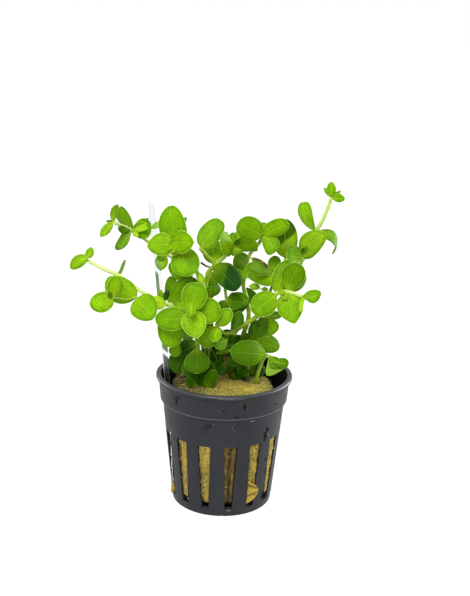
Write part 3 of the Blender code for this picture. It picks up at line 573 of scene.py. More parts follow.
            Leaf((267, 267, -7), (250.8, 257.8, -9.5), 2.6, 0.9, pale=0.35, end=0.7),
        )),
    "right_low": Shoot(
        stem=((255.5, 384, -4), (258, 373, -5), (262, 362, -6), (266.5, 354.5, -6)),
        tone=0.62, girth=0.95,
        leaves=(
            Leaf(3, (230.8, 352.2, -14), 9.6, 0.27, peak=0.5, foot=0.7, end=0.58),
            Leaf(3, (287.5, 367.5, -8), 7.9, 0.42, arch=0.08, peak=0.42, foot=2.2, end=1.4, lean=-0.7,
                 cup=0.15, glow=0.6),
            Leaf((273, 361.5, -9), (288.8, 363.8, -9), 3.8, 0.5, peak=0.62, foot=0.9, end=0.4),
        )),
    "right_low_back": Shoot(
        stem=((250.5, 379, 3), (252, 370, 1), (253, 360, -1), (251, 340, -5), (258, 328, -6),
              (266, 317, -7)),
        tone=0.35, girth=1.1,
        leaves=(
            Leaf(1, (265.5, 370, 4), 5.0, 0.0),
            Leaf(3, (280, 348, 1), 7.2, 0.56, glow=0.6),
            Leaf(3, (243.5, 334, -7), 3.0, 0.1),
            Leaf(5, (256.5, 337.5, -9), 5.4, 0.12, cup=0.3),
            Leaf(5, (268, 336.5, -7), 7.4, 0.85, bend=-0.1),
            Leaf(5, (282.8, 314.5, -7), 3.2, 1.0, roll=10, pale=0.3, under=0.6),
            Leaf((252, 341, -6), (256, 320, -9), 4.4, 0.05),
        )),
    "low_middle": Shoot(
        stem=((234, 332.5, -8), (225, 333.5, -11), (217.5, 326.5, -13)),
        fork=("right", 3), tone=0.35, bud=0.9, girth=0.75, rim=0.85,
        leaves=(
            Leaf(2, (230.5, 309, -11), 5.8, 0.8),
            Leaf(2, (213, 342, -19), 4.2, 0.95, glow=0.9),
            Leaf(2, (204, 348, -15), 7.6, 0.75, end=0.8, bend=0.1),
            Leaf((203, 325, -12), (202.5, 346, -15), 7.0, 0.8, end=0.8),
            Leaf((212, 330, -12), (219, 346.5, -13), 4.6, 0.7),
        )),
    "inner": Shoot(
        stem=((236, 378, 4), (232, 340, 0), (233, 312, -3), (227, 300, -3), (225, 288, -3)),
        tone=0.4,
        leaves=(
            Leaf(3, (244, 302, -7), 6.4, 0.2, cup=0.35),
            Leaf(3, (248.5, 299, -3), 6.0, 0.8, cup=0.3),
            Leaf(4, (231, 282, -1), 3.2, 0.2),
            Leaf(3, (220.5, 311, -4), 4.4, 0.2),
            Leaf((233, 314, -4), (249, 298, -3), 4.2, 0.3),
            Leaf((232, 340, 0), (222, 331, -3), 5.0, 0.1),
            Leaf((232, 345, 0), (243, 337, -3), 5.0, 0.1),
        )),
}


def limit(value, low=0.0, high=1.0):
    return min(max(value, low), high)


def view_axes():
    """Directions of the view: forward, right and up."""
    forward = (VIEW_AIM - VIEW_EYE).normalized()
    level_right = forward.cross(UP).normalized()
    level_up = level_right.cross(forward)
    turn = math.radians(VIEW_ROLL)
    right = level_right * math.cos(turn) + level_up * math.sin(turn)
    up = level_up * math.cos(turn) - level_right * math.sin(turn)
    return forward, right, up


def view_ray(across, down):
    """Way from the camera through a pixel of the view."""
    forward, right, up = view_axes()
    return (forward + right * ((across - VIEW_CENTRE[0]) / VIEW_FOCAL)
            - up * ((down - VIEW_CENTRE[1]) / VIEW_FOCAL))


def spot(place):
    """Point at a pixel of the view and a depth in millimetres behind the pot's axis."""
    across, down, depth = place
    ray = view_ray(across, down)
    return VIEW_EYE + ray * ((depth * MM - VIEW_EYE.y) / ray.y)


def new_object(name, vertices, faces):
    """Object of a mesh made from vertices and faces, in the scene."""
    mesh = bpy.data.meshes.new(name)
    mesh.from_pydata([tuple(vertex) for vertex in vertices], [], faces)
    thing = bpy.data.objects.new(name, mesh)
    bpy.context.collection.objects.link(thing)
    return thing


class Form:
    """Vertices, faces and point values of a mesh in the making."""

    def __init__(self):
        self.vertices = []
        self.faces = []
        self.values = {}

    def add(self, vertices, faces, values):
        """Add a closed or open sheet, with its faces numbered from its own first vertex."""
        start = len(self.vertices)
        self.vertices.extend(vertices)
        self.faces.extend(tuple(start + index for index in face) for face in faces)
        for name, numbers in values.items():
            self.values.setdefault(name, []).extend(numbers)

    def build(self, name, material, replaced=()):
        """Object that rides on the part, with each set of values as a point attribute."""
        thing = new_object(name, self.vertices, self.faces)
        thing.data.materials.append(material)
        for label, numbers in self.values.items():
            attribute = thing.data.attributes.new(label, "FLOAT_VECTOR", "POINT")
            attribute.data.foreach_set("vector", [part for number in numbers for part in number])
        thing.data.shade_smooth()
        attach(thing, "root")
        if replaced:
            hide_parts(*replaced)
        return thing


def ring_faces(rows, sides, closed_end=True):
    """Faces of a tube whose rows of vertices follow each other, each with the same number of sides."""
    faces = []
    for start in range(0, (rows - 1) * sides, sides):
        for step in range(sides):
            after = (step + 1) % sides
            faces.append((start + step, start + after, start + sides + after, start + sides + step))
    faces.append(tuple(reversed(range(sides))))
    if closed_end:
        faces.append(tuple(range((rows - 1) * sides, rows * sides)))
    return faces


class Shader:
    """Short way to add and link the nodes of a material or of the world."""

    def __init__(self, owner, surface="Principled BSDF"):
        self.owner = owner
        owner.use_nodes = True
        self.tree = owner.node_tree
        self.surface = self.tree.nodes[surface]

    def put(self, socket, value):
        """Link a value's socket, or set a plain number or colour."""
        if isinstance(value, bpy.types.NodeSocket):
            self.tree.links.new(value, socket)
        elif isinstance(value, tuple) and len(value) == 3 and len(socket.default_value) == 4:
            socket.default_value = (*value, 1.0)
        else:
            socket.default_value = value

    def set(self, **values):
        """Set inputs of the surface, with underscores for the spaces in their names."""
        for name, value in values.items():
            self.put(self.surface.inputs[name.replace("_", " ")], value)

    def node(self, kind, *values, **settings):
        """Add a node with its settings, and put values in its first inputs."""
        node = self.tree.nodes.new("ShaderNode" + kind)
        for name, setting in settings.items():
            setattr(node, name, setting)
        for socket, value in zip(node.inputs, values):
            self.put(socket, value)
        return node

    def attribute(self, name):
        """The three numbers of a point attribute, and the attribute as a vector."""
        vector = self.node("Attribute", attribute_name=name).outputs["Vector"]
        return (*self.node("SeparateXYZ", vector).outputs, vector)

    def place(self):
        return self.node("NewGeometry").outputs["Position"]

    def normal(self):
        return self.node("NewGeometry").outputs["Normal"]

    def math(self, operation, *values):
        return self.node("Math", *values, operation=operation).outputs[0]

    def chain(self, operation, values):
        result = values[0]
        for value in values[1:]:
            result = self.math(operation, result, value)
        return result

    def plus(self, *values):
        return self.chain("ADD", values)

    def minus(self, *values):
        return self.chain("SUBTRACT", values)

    def times(self, *values):
        return self.chain("MULTIPLY", values)

    def most(self, *values):
        return self.chain("MAXIMUM", values)

    def size(self, value):
        return self.math("ABSOLUTE", value)

    def vector(self, operation, *values):
        output = "Value" if operation in ("LENGTH", "DOT_PRODUCT") else "Vector"
        return self.node("VectorMath", *values, operation=operation).outputs[output]

    def stretch(self, vector, factors):
        return self.vector("MULTIPLY", vector, factors)

    def ease(self, value, low, high, to_low=0.0, to_high=1.0):
        """Smooth step from one range to another."""
        node = self.node("MapRange", value, low, high, to_low, to_high, interpolation_type="SMOOTHSTEP")
        return node.outputs[0]

    def band(self, value, rise, fall):
        """Smooth step up and another down again."""
        return self.times(self.ease(value, *rise), self.ease(value, *fall))

    def noise(self, vector, scale, detail=3.0, roughness=0.55):
        node = self.node("TexNoise", vector)
        for name, value in (("Scale", scale), ("Detail", detail), ("Roughness", roughness)):
            node.inputs[name].default_value = value
        return node.outputs["Fac"]

    def mix(self, factor, first, second):
        """Colour between two colours."""
        node = self.node("Mix", factor, data_type="RGBA")
        self.put(node.inputs[6], first)
        self.put(node.inputs[7], second)
        return node.outputs[2]

    def bump(self, height, distance, strength=1.0):
        node = self.node("Bump")
        for name, value in (("Strength", strength), ("Distance", distance), ("Height", height)):
            self.put(node.inputs[name], value)
        self.put(self.surface.inputs["Normal"], node.outputs["Normal"])


def new_shader(name):
    return Shader(bpy.data.materials.new(name))


def leaf_lines(shader, place, across, aside, half_width, share):
    """How clearly a leaf's veins show: the fine ones, which run from foot to tip, and the midrib."""
    wander = shader.times(shader.minus(shader.noise(place, 0.5, 3), 0.5), VEIN_WANDER)
    lane = shader.math("DIVIDE", shader.plus(aside, wander), VEIN_PITCH)
    lane_gap = shader.size(shader.minus(lane, shader.math("ROUND", lane)))
    vein_gap = shader.times(lane_gap, shader.times(half_width, VEIN_PITCH))
    veins = shader.times(shader.ease(vein_gap, 0.14, 0.02), shader.ease(share, 0.7, 0.1, 0.05, 1.0),
                         shader.ease(shader.size(aside), 0.98, 0.75))
    midrib = shader.times(shader.ease(shader.size(across), 0.26, 0.04),
                          shader.ease(share, 0.95, 0.15, 0.15, 1.0))
    return shader.most(shader.times(veins, 0.62), midrib)


def leaf_painted_shadow(shader, aside, share, dusk):
    """Painted cast shadow: how dark a leaf's outer half is, on the side that the sign of the shadow's
    strength gives.
    """
    outer = shader.times(shader.minus(share, 0.46), 2.2)
    toward = shader.times(aside, shader.times(shader.math("SIGN", dusk), 0.5))
    return shader.times(shader.ease(shader.plus(toward, outer), -0.12, 0.12), shader.size(dusk))


def leaf_material():
    """Fleshy leaf skin: veins that run from foot to tip, a paler underside, and painted light and shade: a
    painted line along the rim, a highlight on bright leaves, painted shade just inside it, and a painted
    cast shadow on one side.

    leaf_place holds millimetres across and along the leaf, and the distance to its rim.
    leaf_form holds the share of the half width, the half width in millimetres and the share of the length.
    leaf_tone holds the leaf's brightness, partly painted light and shade, how yellow it is, and how much of
    the underside shows.
    leaf_glow holds how much brighter its foot is, how dark one side of its outer half is with a painted cast
    shadow, where the sign gives the side, and how strong the painted line along its rim is.
    """
    shader = new_shader("leaf_skin_fine")
    across, _, rim_gap, place = shader.attribute("leaf_place")
    aside, half_width, share, _ = shader.attribute("leaf_form")
    tone, pale, under, _ = shader.attribute("leaf_tone")
    glow, dusk, rim_highlight, _ = shader.attribute("leaf_glow")
    mottle = shader.noise(shader.stretch(place, (2.6, 0.9, 0.0)), 1.0, 5, 0.7)
    cloud = shader.noise(shader.place(), 260, 2)
    lines = leaf_lines(shader, place, across, aside, half_width, share)
    # Brightness leaf by leaf, partly its own colour and partly painted light and shade
    top = shader.mix(tone, LEAF_DARK, LEAF_BRIGHT)
    top = shader.mix(pale, top, LEAF_PALE)
    top = shader.mix(shader.times(shader.ease(share, 0.42, 0.0), glow), top, LEAF_FOOT)
    colour = shader.mix(under, top, shader.mix(tone, BELOW_DARK, BELOW_BRIGHT))
    blotches = shader.plus(shader.ease(mottle, 0.38, 0.64, 0.0, 0.4),
                           shader.ease(cloud, 0.35, 0.65, 0.0, 0.2))
    blotches = shader.times(blotches, shader.ease(pale, 0.2, 1.0, 1.0, 0.3))
    colour = shader.mix(blotches, colour, LEAF_MOTTLE)
    # Painted shade in a band just inside the rim
    painted_rim_shade = shader.times(shader.ease(rim_gap, 1.6, 0.25), shader.ease(rim_highlight, 0.0, 0.15, 0.1, 0.42))
    colour = shader.mix(painted_rim_shade, colour, LEAF_RIM_SHADE)
    # Painted cast shadow over one side of the outer half
    colour = shader.mix(leaf_painted_shadow(shader, aside, share, dusk), colour, LEAF_PAINTED_SHADOW)
    colour = shader.mix(shader.times(lines, 0.6), colour, shader.mix(tone, LINE_DARK, LINE_PALE))
    # Painted line right at the rim: a highlight on bright leaves, dark on dark ones
    rim = shader.times(shader.ease(rim_gap, 0.32, 0.12), rim_highlight)
    colour = shader.mix(rim, colour, shader.mix(tone, RIM_DARK, RIM_HIGHLIGHT))
    shader.set(Base_Color=colour, Roughness=shader.ease(mottle, 0.3, 0.7, 0.36, 0.48),
               Subsurface_Weight=0.4, Subsurface_Scale=0.4 * MM, Specular_IOR_Level=0.04)
    shader.surface.inputs["Subsurface Radius"].default_value = (0.7, 1.0, 0.05)
    shader.bump(shader.minus(shader.times(mottle, 0.7), lines), 0.2 * MM, 0.8)
    return shader.owner


def stem_material():
    """Fresh stem skin: olive at its foot and pale toward its tip, with fine streaks along it. The darker
    foot is partly the stem's older colour and partly painted shade, which reaches higher up shoots in the
    shade of leaves.

    stem_place holds the angle round the stem, millimetres along it and how near a leaf node is.
    stem_tone holds the shoot's paleness, the share of the stem's length and where it starts to be pale.
    """
    shader = new_shader("stem_skin_fine")
    _, _, node, place = shader.attribute("stem_place")
    tone, share, dark, _ = shader.attribute("stem_tone")
    streaks = shader.noise(shader.stretch(place, (30.0, 4.0, 0.0)), 1.0, 2)
    light = shader.times(tone, shader.ease(share, dark, shader.plus(dark, 0.45), 0.15, 1.0))
    # Dark toward the foot, partly older stem and partly painted shade; pale toward the tip
    colour = shader.mix(shader.ease(light, 0.05, 0.5), STEM_OLD_AND_SHADED, STEM_GREEN)
    colour = shader.mix(shader.ease(light, 0.5, 1.0), colour, STEM_PALE)
    colour = shader.mix(shader.times(node, 0.4), colour, STEM_NODE)
    colour = shader.mix(shader.ease(streaks, 0.45, 0.75, 0.0, 0.35), colour, STEM_STREAK)
    shader.set(Base_Color=colour, Roughness=0.45, Subsurface_Weight=0.6,
               Subsurface_Scale=0.7 * MM, Specular_IOR_Level=0.15)
    shader.surface.inputs["Subsurface Radius"].default_value = (0.8, 1.0, 0.3)
    shader.bump(streaks, 0.05 * MM, 0.4)
    return shader.owner


def dry_material():
    """Dried calyx and twig: papery brown with darker streaks."""
    shader = new_shader("dry_bract")
    grain = shader.noise(shader.stretch(shader.place(), (1.0, 1.0, 0.4)), 900, 3)
    colour = shader.mix(shader.ease(grain, 0.35, 0.65), DRY_DARK, DRY_PALE)
    shader.set(Base_Color=colour, Roughness=0.75)
    shader.bump(grain, 0.08 * MM, 0.6)
    return shader.owner


def wool_material():
    """Damp mineral wool: golden olive with brownish specks, and painted shade, dark and brown, in its
    hollows, in the pits round the stems and on its shaded side.

    wool_tone holds how dark each point is, mostly painted shade with some dark streaks, how brown, partly
    the wool's own colour and partly painted shade, and how golden each point is.
    """
    shader = new_shader("rockwool_fine")
    dark, brown, golden, _ = shader.attribute("wool_tone")
    place = shader.place()
    fine = shader.noise(place, 1300, 5, 0.75)
    coarse = shader.noise(place, 420, 3)
    specks = shader.noise(place, 1500, 2, 0.5)
    height = shader.vector("DOT_PRODUCT", place, tuple(UP))
    top = shader.ease(height, WOOL_EDGE_Z - 3 * MM, WOOL_EDGE_Z + MM)
    colour = shader.mix(shader.ease(fine, 0.36, 0.64), shader.mix(top, WOOL_DEEP, WOOL_TOP_DEEP), WOOL_PALE)
    colour = shader.mix(shader.ease(coarse, 0.45, 0.7, 0.0, 0.45), colour, WOOL_CLOUD)
    colour = shader.mix(shader.times(golden, 0.5), colour, WOOL_GOLD)
    colour = shader.mix(shader.ease(specks, 0.62, 0.72, 0.0, 0.8), colour, WOOL_SPECK)
    # Brown, partly the wool's own colour and partly painted shade, then near black for painted shade and
    # dark streaks
    colour = shader.mix(shader.times(brown, 0.85), colour, WOOL_BROWN_AND_SHADE)
    colour = shader.mix(dark, colour, WOOL_SHADE_AND_STREAKS)
    colour = shader.mix(top, colour, shader.stretch(colour, WOOL_TOP_TINT))
    shader.set(Base_Color=colour, Roughness=0.9, Specular_IOR_Level=0.15)
    shader.bump(shader.plus(fine, shader.times(coarse, 0.8)), 0.3 * MM, 0.9)
    return shader.owner


def fibre_material():
    """Loose mineral fibres, pale gold."""
    shader = new_shader("rockwool_fibre_fine")
    tint = shader.attribute("fibre_tone")[0]
    shader.set(Base_Color=shader.mix(tint, FIBRE_DARK, FIBRE_PALE), Roughness=0.6)
    return shader.owner


def marks_mask(shader, place, marks):
    """How strongly any of the marks shows, on the front of the pot only."""
    ragged = shader.times(shader.minus(shader.noise(place, 700, 2), 0.5), 1.6)
    front = shader.ease(shader.vector("DOT_PRODUCT", place, (0.0, -1.0, 0.0)), 0.0, 2 * MM)
    strengths = []
    for mark in marks:
        local = shader.vector("SUBTRACT", place, tuple(pot_spot(mark.pixel)))
        local = shader.stretch(local, (1 / (mark.half_width * MM), 0.0, 1 / (mark.half_height * MM)))
        gap = shader.plus(shader.vector("LENGTH", local), ragged)
        strengths.append(shader.ease(gap, 1.1, 0.85, 0.0, mark.strength))
    return shader.times(shader.most(*strengths), front)


def pot_material():
    """Moulded charcoal plastic with a fine grain, dull wet patches and darker drops, pale scuffs and flecks,
    painted highlights on the collar's edge, the lip, the foot and a slot's edge, and painted shade inside
    the wall.
    """
    shader = new_shader("pot_plastic_fine")
    place = shader.place()
    grain = shader.noise(place, 2600, 2, 0.6)
    cloud = shader.noise(shader.stretch(place, (1.0, 1.0, 0.35)), 160, 4, 0.6)
    wet = marks_mask(shader, place, POT_DROPS)
    height = shader.vector("DOT_PRODUCT", place, tuple(UP))
    # Painted highlight along the collar's lower edge
    collar_edge_gap = shader.size(shader.minus(height, COLLAR_FOOT_Z + 0.05 * MM))
    collar_highlight = shader.ease(collar_edge_gap, 0.3 * MM, 0.1 * MM, 0.0, 0.75)
    # Painted highlight along the top of the lip
    top = shader.ease(height, POT_HEIGHT - 0.7 * MM, POT_HEIGHT - 0.1 * MM, 0.0, 0.08)
    flecks = shader.ease(shader.noise(place, 1900, 1), 0.7, 0.78, 0.0, 0.35)
    pale = shader.most(marks_mask(shader, place, POT_SCUFFS_AND_HIGHLIGHTS), flecks, collar_highlight, top)
    # Painted shade on the faces that look in toward the axis, the inside of the wall
    inward = shader.vector("DOT_PRODUCT", shader.normal(), shader.stretch(place, (1.0, 1.0, 0.0)))
    inside = shader.ease(inward, -2 * MM, -12 * MM)
    drops_and_inner_shade = shader.most(wet, inside)
    colour = shader.mix(cloud, PLASTIC_DARK, PLASTIC_LIGHT)
    colour = shader.mix(pale, colour, PLASTIC_SCUFF_AND_HIGHLIGHT)
    colour = shader.mix(drops_and_inner_shade, colour, PLASTIC_WET_AND_SHADE)
    # Painted highlight down the edge of a slot
    colour = shader.mix(marks_mask(shader, place, POT_GLINTS), colour, PLASTIC_GLINT)
    rough = shader.minus(shader.ease(cloud, 0.3, 0.7, 0.34, 0.48), shader.times(wet, 0.25))
    shader.set(Base_Color=colour, Roughness=shader.most(rough, inside),
               Specular_IOR_Level=shader.ease(drops_and_inner_shade, 0.0, 1.0, 0.5, 0.06))
    shader.bump(shader.plus(shader.times(grain, 0.5), wet), 0.12 * MM, 0.5)
    return shader.owner


def clear_material():
    """Thin clear film: faintly blue, with whiter edges, painted shade of the pot's dark inside across its
    lower part with a painted highlight down its left edge there, and painted reflections of the leaves on
    its front.

    film_place holds the share across the strip from left to right, and millimetres above the table.
    """
    shader = new_shader("clear_film")
    across, height, _, _ = shader.attribute("film_place")
    edge = shader.most(shader.ease(across, 0.1, 0.0), shader.ease(across, 0.93, 1.0))
    # Painted shade across the lower part of the strip, where the pot's dark inside is behind it
    low = shader.ease(height, *FILM_LOW)
    # Painted highlight down the left edge of that part
    left = shader.times(shader.ease(across, 0.22, 0.12), low)
    # Painted reflections of the leaves, kept to the front face below
    leaf_reflection = shader.times(shader.band(height, *FILM_LEAF_REFLECTION), shader.ease(across, 0.5, 0.4))
    low_leaf_reflection = shader.times(shader.band(height, *FILM_LOW_LEAF_REFLECTION), shader.ease(across, 0.1, 0.2))
    front = shader.vector("DOT_PRODUCT", shader.normal(), (0.0, -1.0, 0.0))
    leaf_reflection = shader.times(shader.most(leaf_reflection, low_leaf_reflection), shader.ease(front, 0.05, 0.2))
    colour = shader.mix(edge, FILM_TINT, FILM_EDGE_TINT)
    colour = shader.mix(low, colour, FILM_SHADE_TINT)
    colour = shader.mix(left, colour, (1.0, 1.0, 1.0))
    colour = shader.mix(leaf_reflection, colour, FILM_REFLECTED_LEAF_TINT)
    alpha = shader.most(shader.plus(0.11, shader.times(edge, 0.1)), shader.times(low, 0.85),
                        shader.times(leaf_reflection, 0.96))
    shader.set(Base_Color=colour, Roughness=0.15, Alpha=alpha, Specular_IOR_Level=0.2)
    return shader.owner


def wall_radius(height):
    """Outside radius of the slotted wall at a height."""
    return WALL_FOOT_RADIUS + (WALL_TOP_RADIUS - WALL_FOOT_RADIUS) * limit(height / COLLAR_FOOT_Z)


def pot_spot(pixel):
    """Point on the outside of the pot's wall at a pixel of the view."""
    ray = view_ray(*pixel)
    near = -LIP_RADIUS - VIEW_EYE.y
    step = 0.1 * MM
    for count in range(int(LIP_RADIUS / step)):
        point = VIEW_EYE + ray * ((near + count * step) / ray.y)
        radius = wall_radius(point.z) if point.z < COLLAR_FOOT_Z else COLLAR_TOP_RADIUS
        if math.hypot(point.x, point.y) < radius:
            break
    return point


def arc(centre, radius, start, end, steps):
    """Points of an arc in (radius, height), from one angle to another in degrees."""
    points = []
    for step in range(steps + 1):
        angle = math.radians(start + (end - start) * step / steps)
        points.append((centre[0] + radius * math.cos(angle), centre[1] + radius * math.sin(angle)))
    return points


def pot_profile():
    """Outline of the pot from the middle of its underside, up outside, over the lip and down inside.

    Also gives where the slots' rows start on the way up and on the way down.
    """
    slot_heights = [SLOT_FOOT_Z + (SLOT_TOP_Z - SLOT_FOOT_Z) * row / SLOT_STEPS
                    for row in range(SLOT_STEPS + 1)]
    inner_foot = wall_radius(FLOOR_THICKNESS) - WALL_THICKNESS
    step_z = COLLAR_FOOT_Z - COLLAR_STEP
    lip_foot_z = POT_HEIGHT - LIP_DEPTH
    lip_middle = LIP_RADIUS - LIP_ROUND
    lip_inner = COLLAR_TOP_RADIUS - WALL_THICKNESS + LIP_ROUND
    outline = [(0.0, 0.0), (FLOOR_RING, 0.0)]
    outline += arc((WALL_FOOT_RADIUS - FOOT_ROUND, FOOT_ROUND), FOOT_ROUND, -90, -6, 5)
    up_start = len(outline)
    outline += [(wall_radius(height), height) for height in (*slot_heights, *WALL_RINGS, step_z)]
    outline += [(COLLAR_FOOT_RADIUS - COLLAR_EDGE, COLLAR_FOOT_Z - COLLAR_EDGE_DROP)]
    outline += [(COLLAR_FOOT_RADIUS, COLLAR_FOOT_Z + COLLAR_EDGE), COLLAR_MIDDLE]
    outline += [(COLLAR_TOP_RADIUS, lip_foot_z - LIP_FILLET[1])]
    outline += [(COLLAR_TOP_RADIUS + LIP_FILLET[0], lip_foot_z - LIP_FILLET_GAP)]
    outline += arc((lip_middle, lip_foot_z + LIP_ROUND), LIP_ROUND, -70, 0, 4)
    outline += arc((lip_middle, POT_HEIGHT - LIP_ROUND), LIP_ROUND, 0, 90, 5)
    outline += arc((lip_inner, POT_HEIGHT - LIP_ROUND), LIP_ROUND, 90, 180, 4)
    outline += [(COLLAR_FOOT_RADIUS - WALL_THICKNESS, COLLAR_FOOT_Z)]
    outline += [(WALL_TOP_RADIUS - WALL_THICKNESS, step_z - WALL_THICKNESS)]
    down_start = len(outline)
    outline += [(wall_radius(height) - WALL_THICKNESS, height) for height in reversed(slot_heights)]
    outline += [(inner_foot, FLOOR_THICKNESS + FLOOR_FILLET)]
    outline += [(inner_foot - FLOOR_FILLET, FLOOR_THICKNESS)]
    outline += [(FLOOR_RING, FLOOR_THICKNESS), (0.0, FLOOR_THICKNESS)]
    return outline, up_start, down_start


def slot_half_angle(radius, height):
    """Half of a slot's opening as an angle, held at its ends above and below the slot."""
    share = limit((height - SLOT_FOOT_Z) / (SLOT_TOP_Z - SLOT_FOOT_Z))
    width = SLOT_FOOT_WIDTH + (SLOT_TOP_WIDTH - SLOT_FOOT_WIDTH) * share
    return math.asin(min(width / 2 / max(radius, WALL_FOOT_RADIUS - WALL_THICKNESS), 1.0))


def pot_ring(radius, height):
    """Vertices of the pot at one point of its outline: across each slot, then along the bar after it."""
    half = slot_half_angle(radius, height)
    bar = math.radians(SLOT_PITCH) - 2 * half
    ring = []
    for slot in range(SLOT_COUNT):
        middle = math.radians(SLOT_FIRST_ANGLE + SLOT_PITCH * slot)
        angles = [middle - half + 2 * half * column / SLOT_COLUMNS for column in range(SLOT_COLUMNS + 1)]
        angles += [middle + half + bar * column / BAR_COLUMNS for column in range(1, BAR_COLUMNS)]
        ring += [(radius * math.cos(angle), radius * math.sin(angle), height) for angle in angles]
    return ring


def slot_reveals(up_start, down_start):
    """Faces between the outside and the inside of the wall round each slot."""
    up_end = up_start + SLOT_STEPS
    down_end = down_start + SLOT_STEPS
    faces = []
    for left in range(0, POT_COLUMNS, SLOT_COLUMNS + BAR_COLUMNS):
        right = left + SLOT_COLUMNS
        for step in range(SLOT_STEPS):
            outer = (up_start + step) * POT_COLUMNS
            inner = (down_end - step) * POT_COLUMNS
            face = (outer, outer + POT_COLUMNS, inner - POT_COLUMNS, inner)
            faces.append(tuple(corner + left for corner in face))
            faces.append(tuple(corner + right for corner in reversed(face)))
        for column in range(left, right):
            foot = up_start * POT_COLUMNS + column
            foot_inside = down_end * POT_COLUMNS + column
            top = up_end * POT_COLUMNS + column
            top_inside = down_start * POT_COLUMNS + column
            faces.append((foot, foot_inside, foot_inside + 1, foot + 1))
            faces.append((top + 1, top_inside + 1, top_inside, top))
    return faces


def cut_floor_slots(pot):
    """Cut the drain slots through the pot's floor, set out like the spokes of a wheel."""
    box_faces = ((0, 2, 3, 1), (4, 5, 7, 6), (0, 1, 5, 4), (2, 6, 7, 3), (0, 4, 6, 2), (1, 3, 7, 5))
    boxes = Form()
    for number in range(FLOOR_SLOT_COUNT):
        turn = Matrix.Rotation(2 * math.pi * number / FLOOR_SLOT_COUNT, 3, "Z")
        corners = [turn @ Vector((radius, side * FLOOR_SLOT_WIDTH / 2, height))
                   for height in (-FLOOR_THICKNESS, 2 * FLOOR_THICKNESS)
                   for side in (-1, 1)
                   for radius in (FLOOR_SLOT_INNER, FLOOR_SLOT_OUTER)]
        boxes.add(corners, box_faces, {})
    cutter = new_object("floor_slot_cutter", boxes.vertices, boxes.faces)
    slots = pot.modifiers.new("floor_slots", "BOOLEAN")
    slots.operation = "DIFFERENCE"
    slots.solver = "EXACT"
    slots.object = cutter
    whole = pot.evaluated_get(bpy.context.evaluated_depsgraph_get())
    cut_mesh = bpy.data.meshes.new_from_object(whole)
    pot.modifiers.clear()
    pot.data = cut_mesh
    bpy.data.objects.remove(cutter)


def build_pot(material):
    """The net pot, with its wall slots left out of the mesh and its floor slots cut."""
    outline, up_start, down_start = pot_profile()
    vertices = [vertex for point in outline for vertex in pot_ring(*point)]
    open_rows = {start + step for start in (up_start, down_start) for step in range(SLOT_STEPS)}
    faces = []
    for row in range(len(outline) - 1):
        for column in range(POT_COLUMNS):
            if row in open_rows and column % (SLOT_COLUMNS + BAR_COLUMNS) < SLOT_COLUMNS:
                continue
            one = row * POT_COLUMNS + column
            two = row * POT_COLUMNS + (column + 1) % POT_COLUMNS
            faces.append((one, two, two + POT_COLUMNS, one + POT_COLUMNS))
    form = Form()
    form.add(vertices, faces + slot_reveals(up_start, down_start), {})
    pot = form.build("net_pot", material, ["pot"])
    weld = pot.modifiers.new("weld_poles", "WELD")
    weld.merge_threshold = 0.01 * MM
    bevel = pot.modifiers.new("soft_edges", "BEVEL")
    bevel.width = EDGE_ROUND
    bevel.segments = 2
    bevel.limit_method = "ANGLE"
    bevel.angle_limit = math.radians(SHARP_ANGLE)
    cut_floor_slots(pot)
    pot.data.set_sharp_from_angle(angle=math.radians(SHARP_ANGLE))


def off_angle(degrees, other):
    """Turn from one angle to another, between -180 and 180 degrees."""
    return (degrees - other + 180) % 360 - 180


def gap_depth(degrees, middle, spread):
    """How near an angle is to the middle of a gap, from 0 at the end of its spread to 1."""
    return max(0.0, 1 - abs(off_angle(degrees, middle)) / spread)


def slot_share(degrees, height):
    """Place across the nearest slot: 0 at its middle, and -1 and 1 at its edges."""
    nearest = round((degrees - SLOT_FIRST_ANGLE) / SLOT_PITCH)
    half = math.degrees(slot_half_angle(wall_radius(height), height))
    return off_angle(degrees, SLOT_FIRST_ANGLE + nearest * SLOT_PITCH) / half


def wool_radius(degrees, height):
    """Radius of the plug, which leaves two gaps, bulges into the slots and tapers to its foot."""
    near_gap = gap_depth(degrees, WOOL_GAP_ANGLE, WOOL_GAP_SPREAD)
    near_top = limit((height - WOOL_GAP_FOOT_Z) / (WOOL_EDGE_Z - WOOL_GAP_FOOT_Z))
    sunk = WOOL_GAP_DEPTH * math.sin(near_gap * math.pi / 2) * near_top ** 0.7
    near_left = gap_depth(degrees, WOOL_LEFT_GAP_ANGLE, WOOL_LEFT_GAP_SPREAD)
    high = limit((height - WOOL_LEFT_GAP_FOOT_Z) / WOOL_LEFT_GAP_RISE)
    sunk += WOOL_LEFT_GAP_DEPTH * min(1.0, 2 * near_left) * high
    sunk += WOOL_FOOT_TAPER * max(0.0, 1 - (height - WOOL_FOOT_Z) / WOOL_FOOT_RISE) ** 1.2
    bulge = max(0.0, 1 - slot_share(degrees, height) ** 16) if height < SLOT_TOP_Z else 0.0
    return wall_radius(height) - WALL_THICKNESS - WOOL_CLEARANCE + WOOL_BULGE * bulge - sunk


def wool_point(degrees, share, height):
    """Point on the plug's side at a share of 1, or on its domed top at a lower share."""
    angle = math.radians(degrees)
    top = WOOL_EDGE_Z + (WOOL_CROWN_Z - WOOL_EDGE_Z) * math.sqrt(max(0.0, 1 - share ** 2))
    reach = wool_radius(degrees, min(height, WOOL_EDGE_Z)) * share
    return Vector((reach * math.cos(angle), reach * math.sin(angle), height if share == 1 else top))


def noise_at(point, level_scale, up_scale, shift):
    return noise.noise(Vector((point.x * level_scale, point.y * level_scale, point.z * up_scale + shift)))


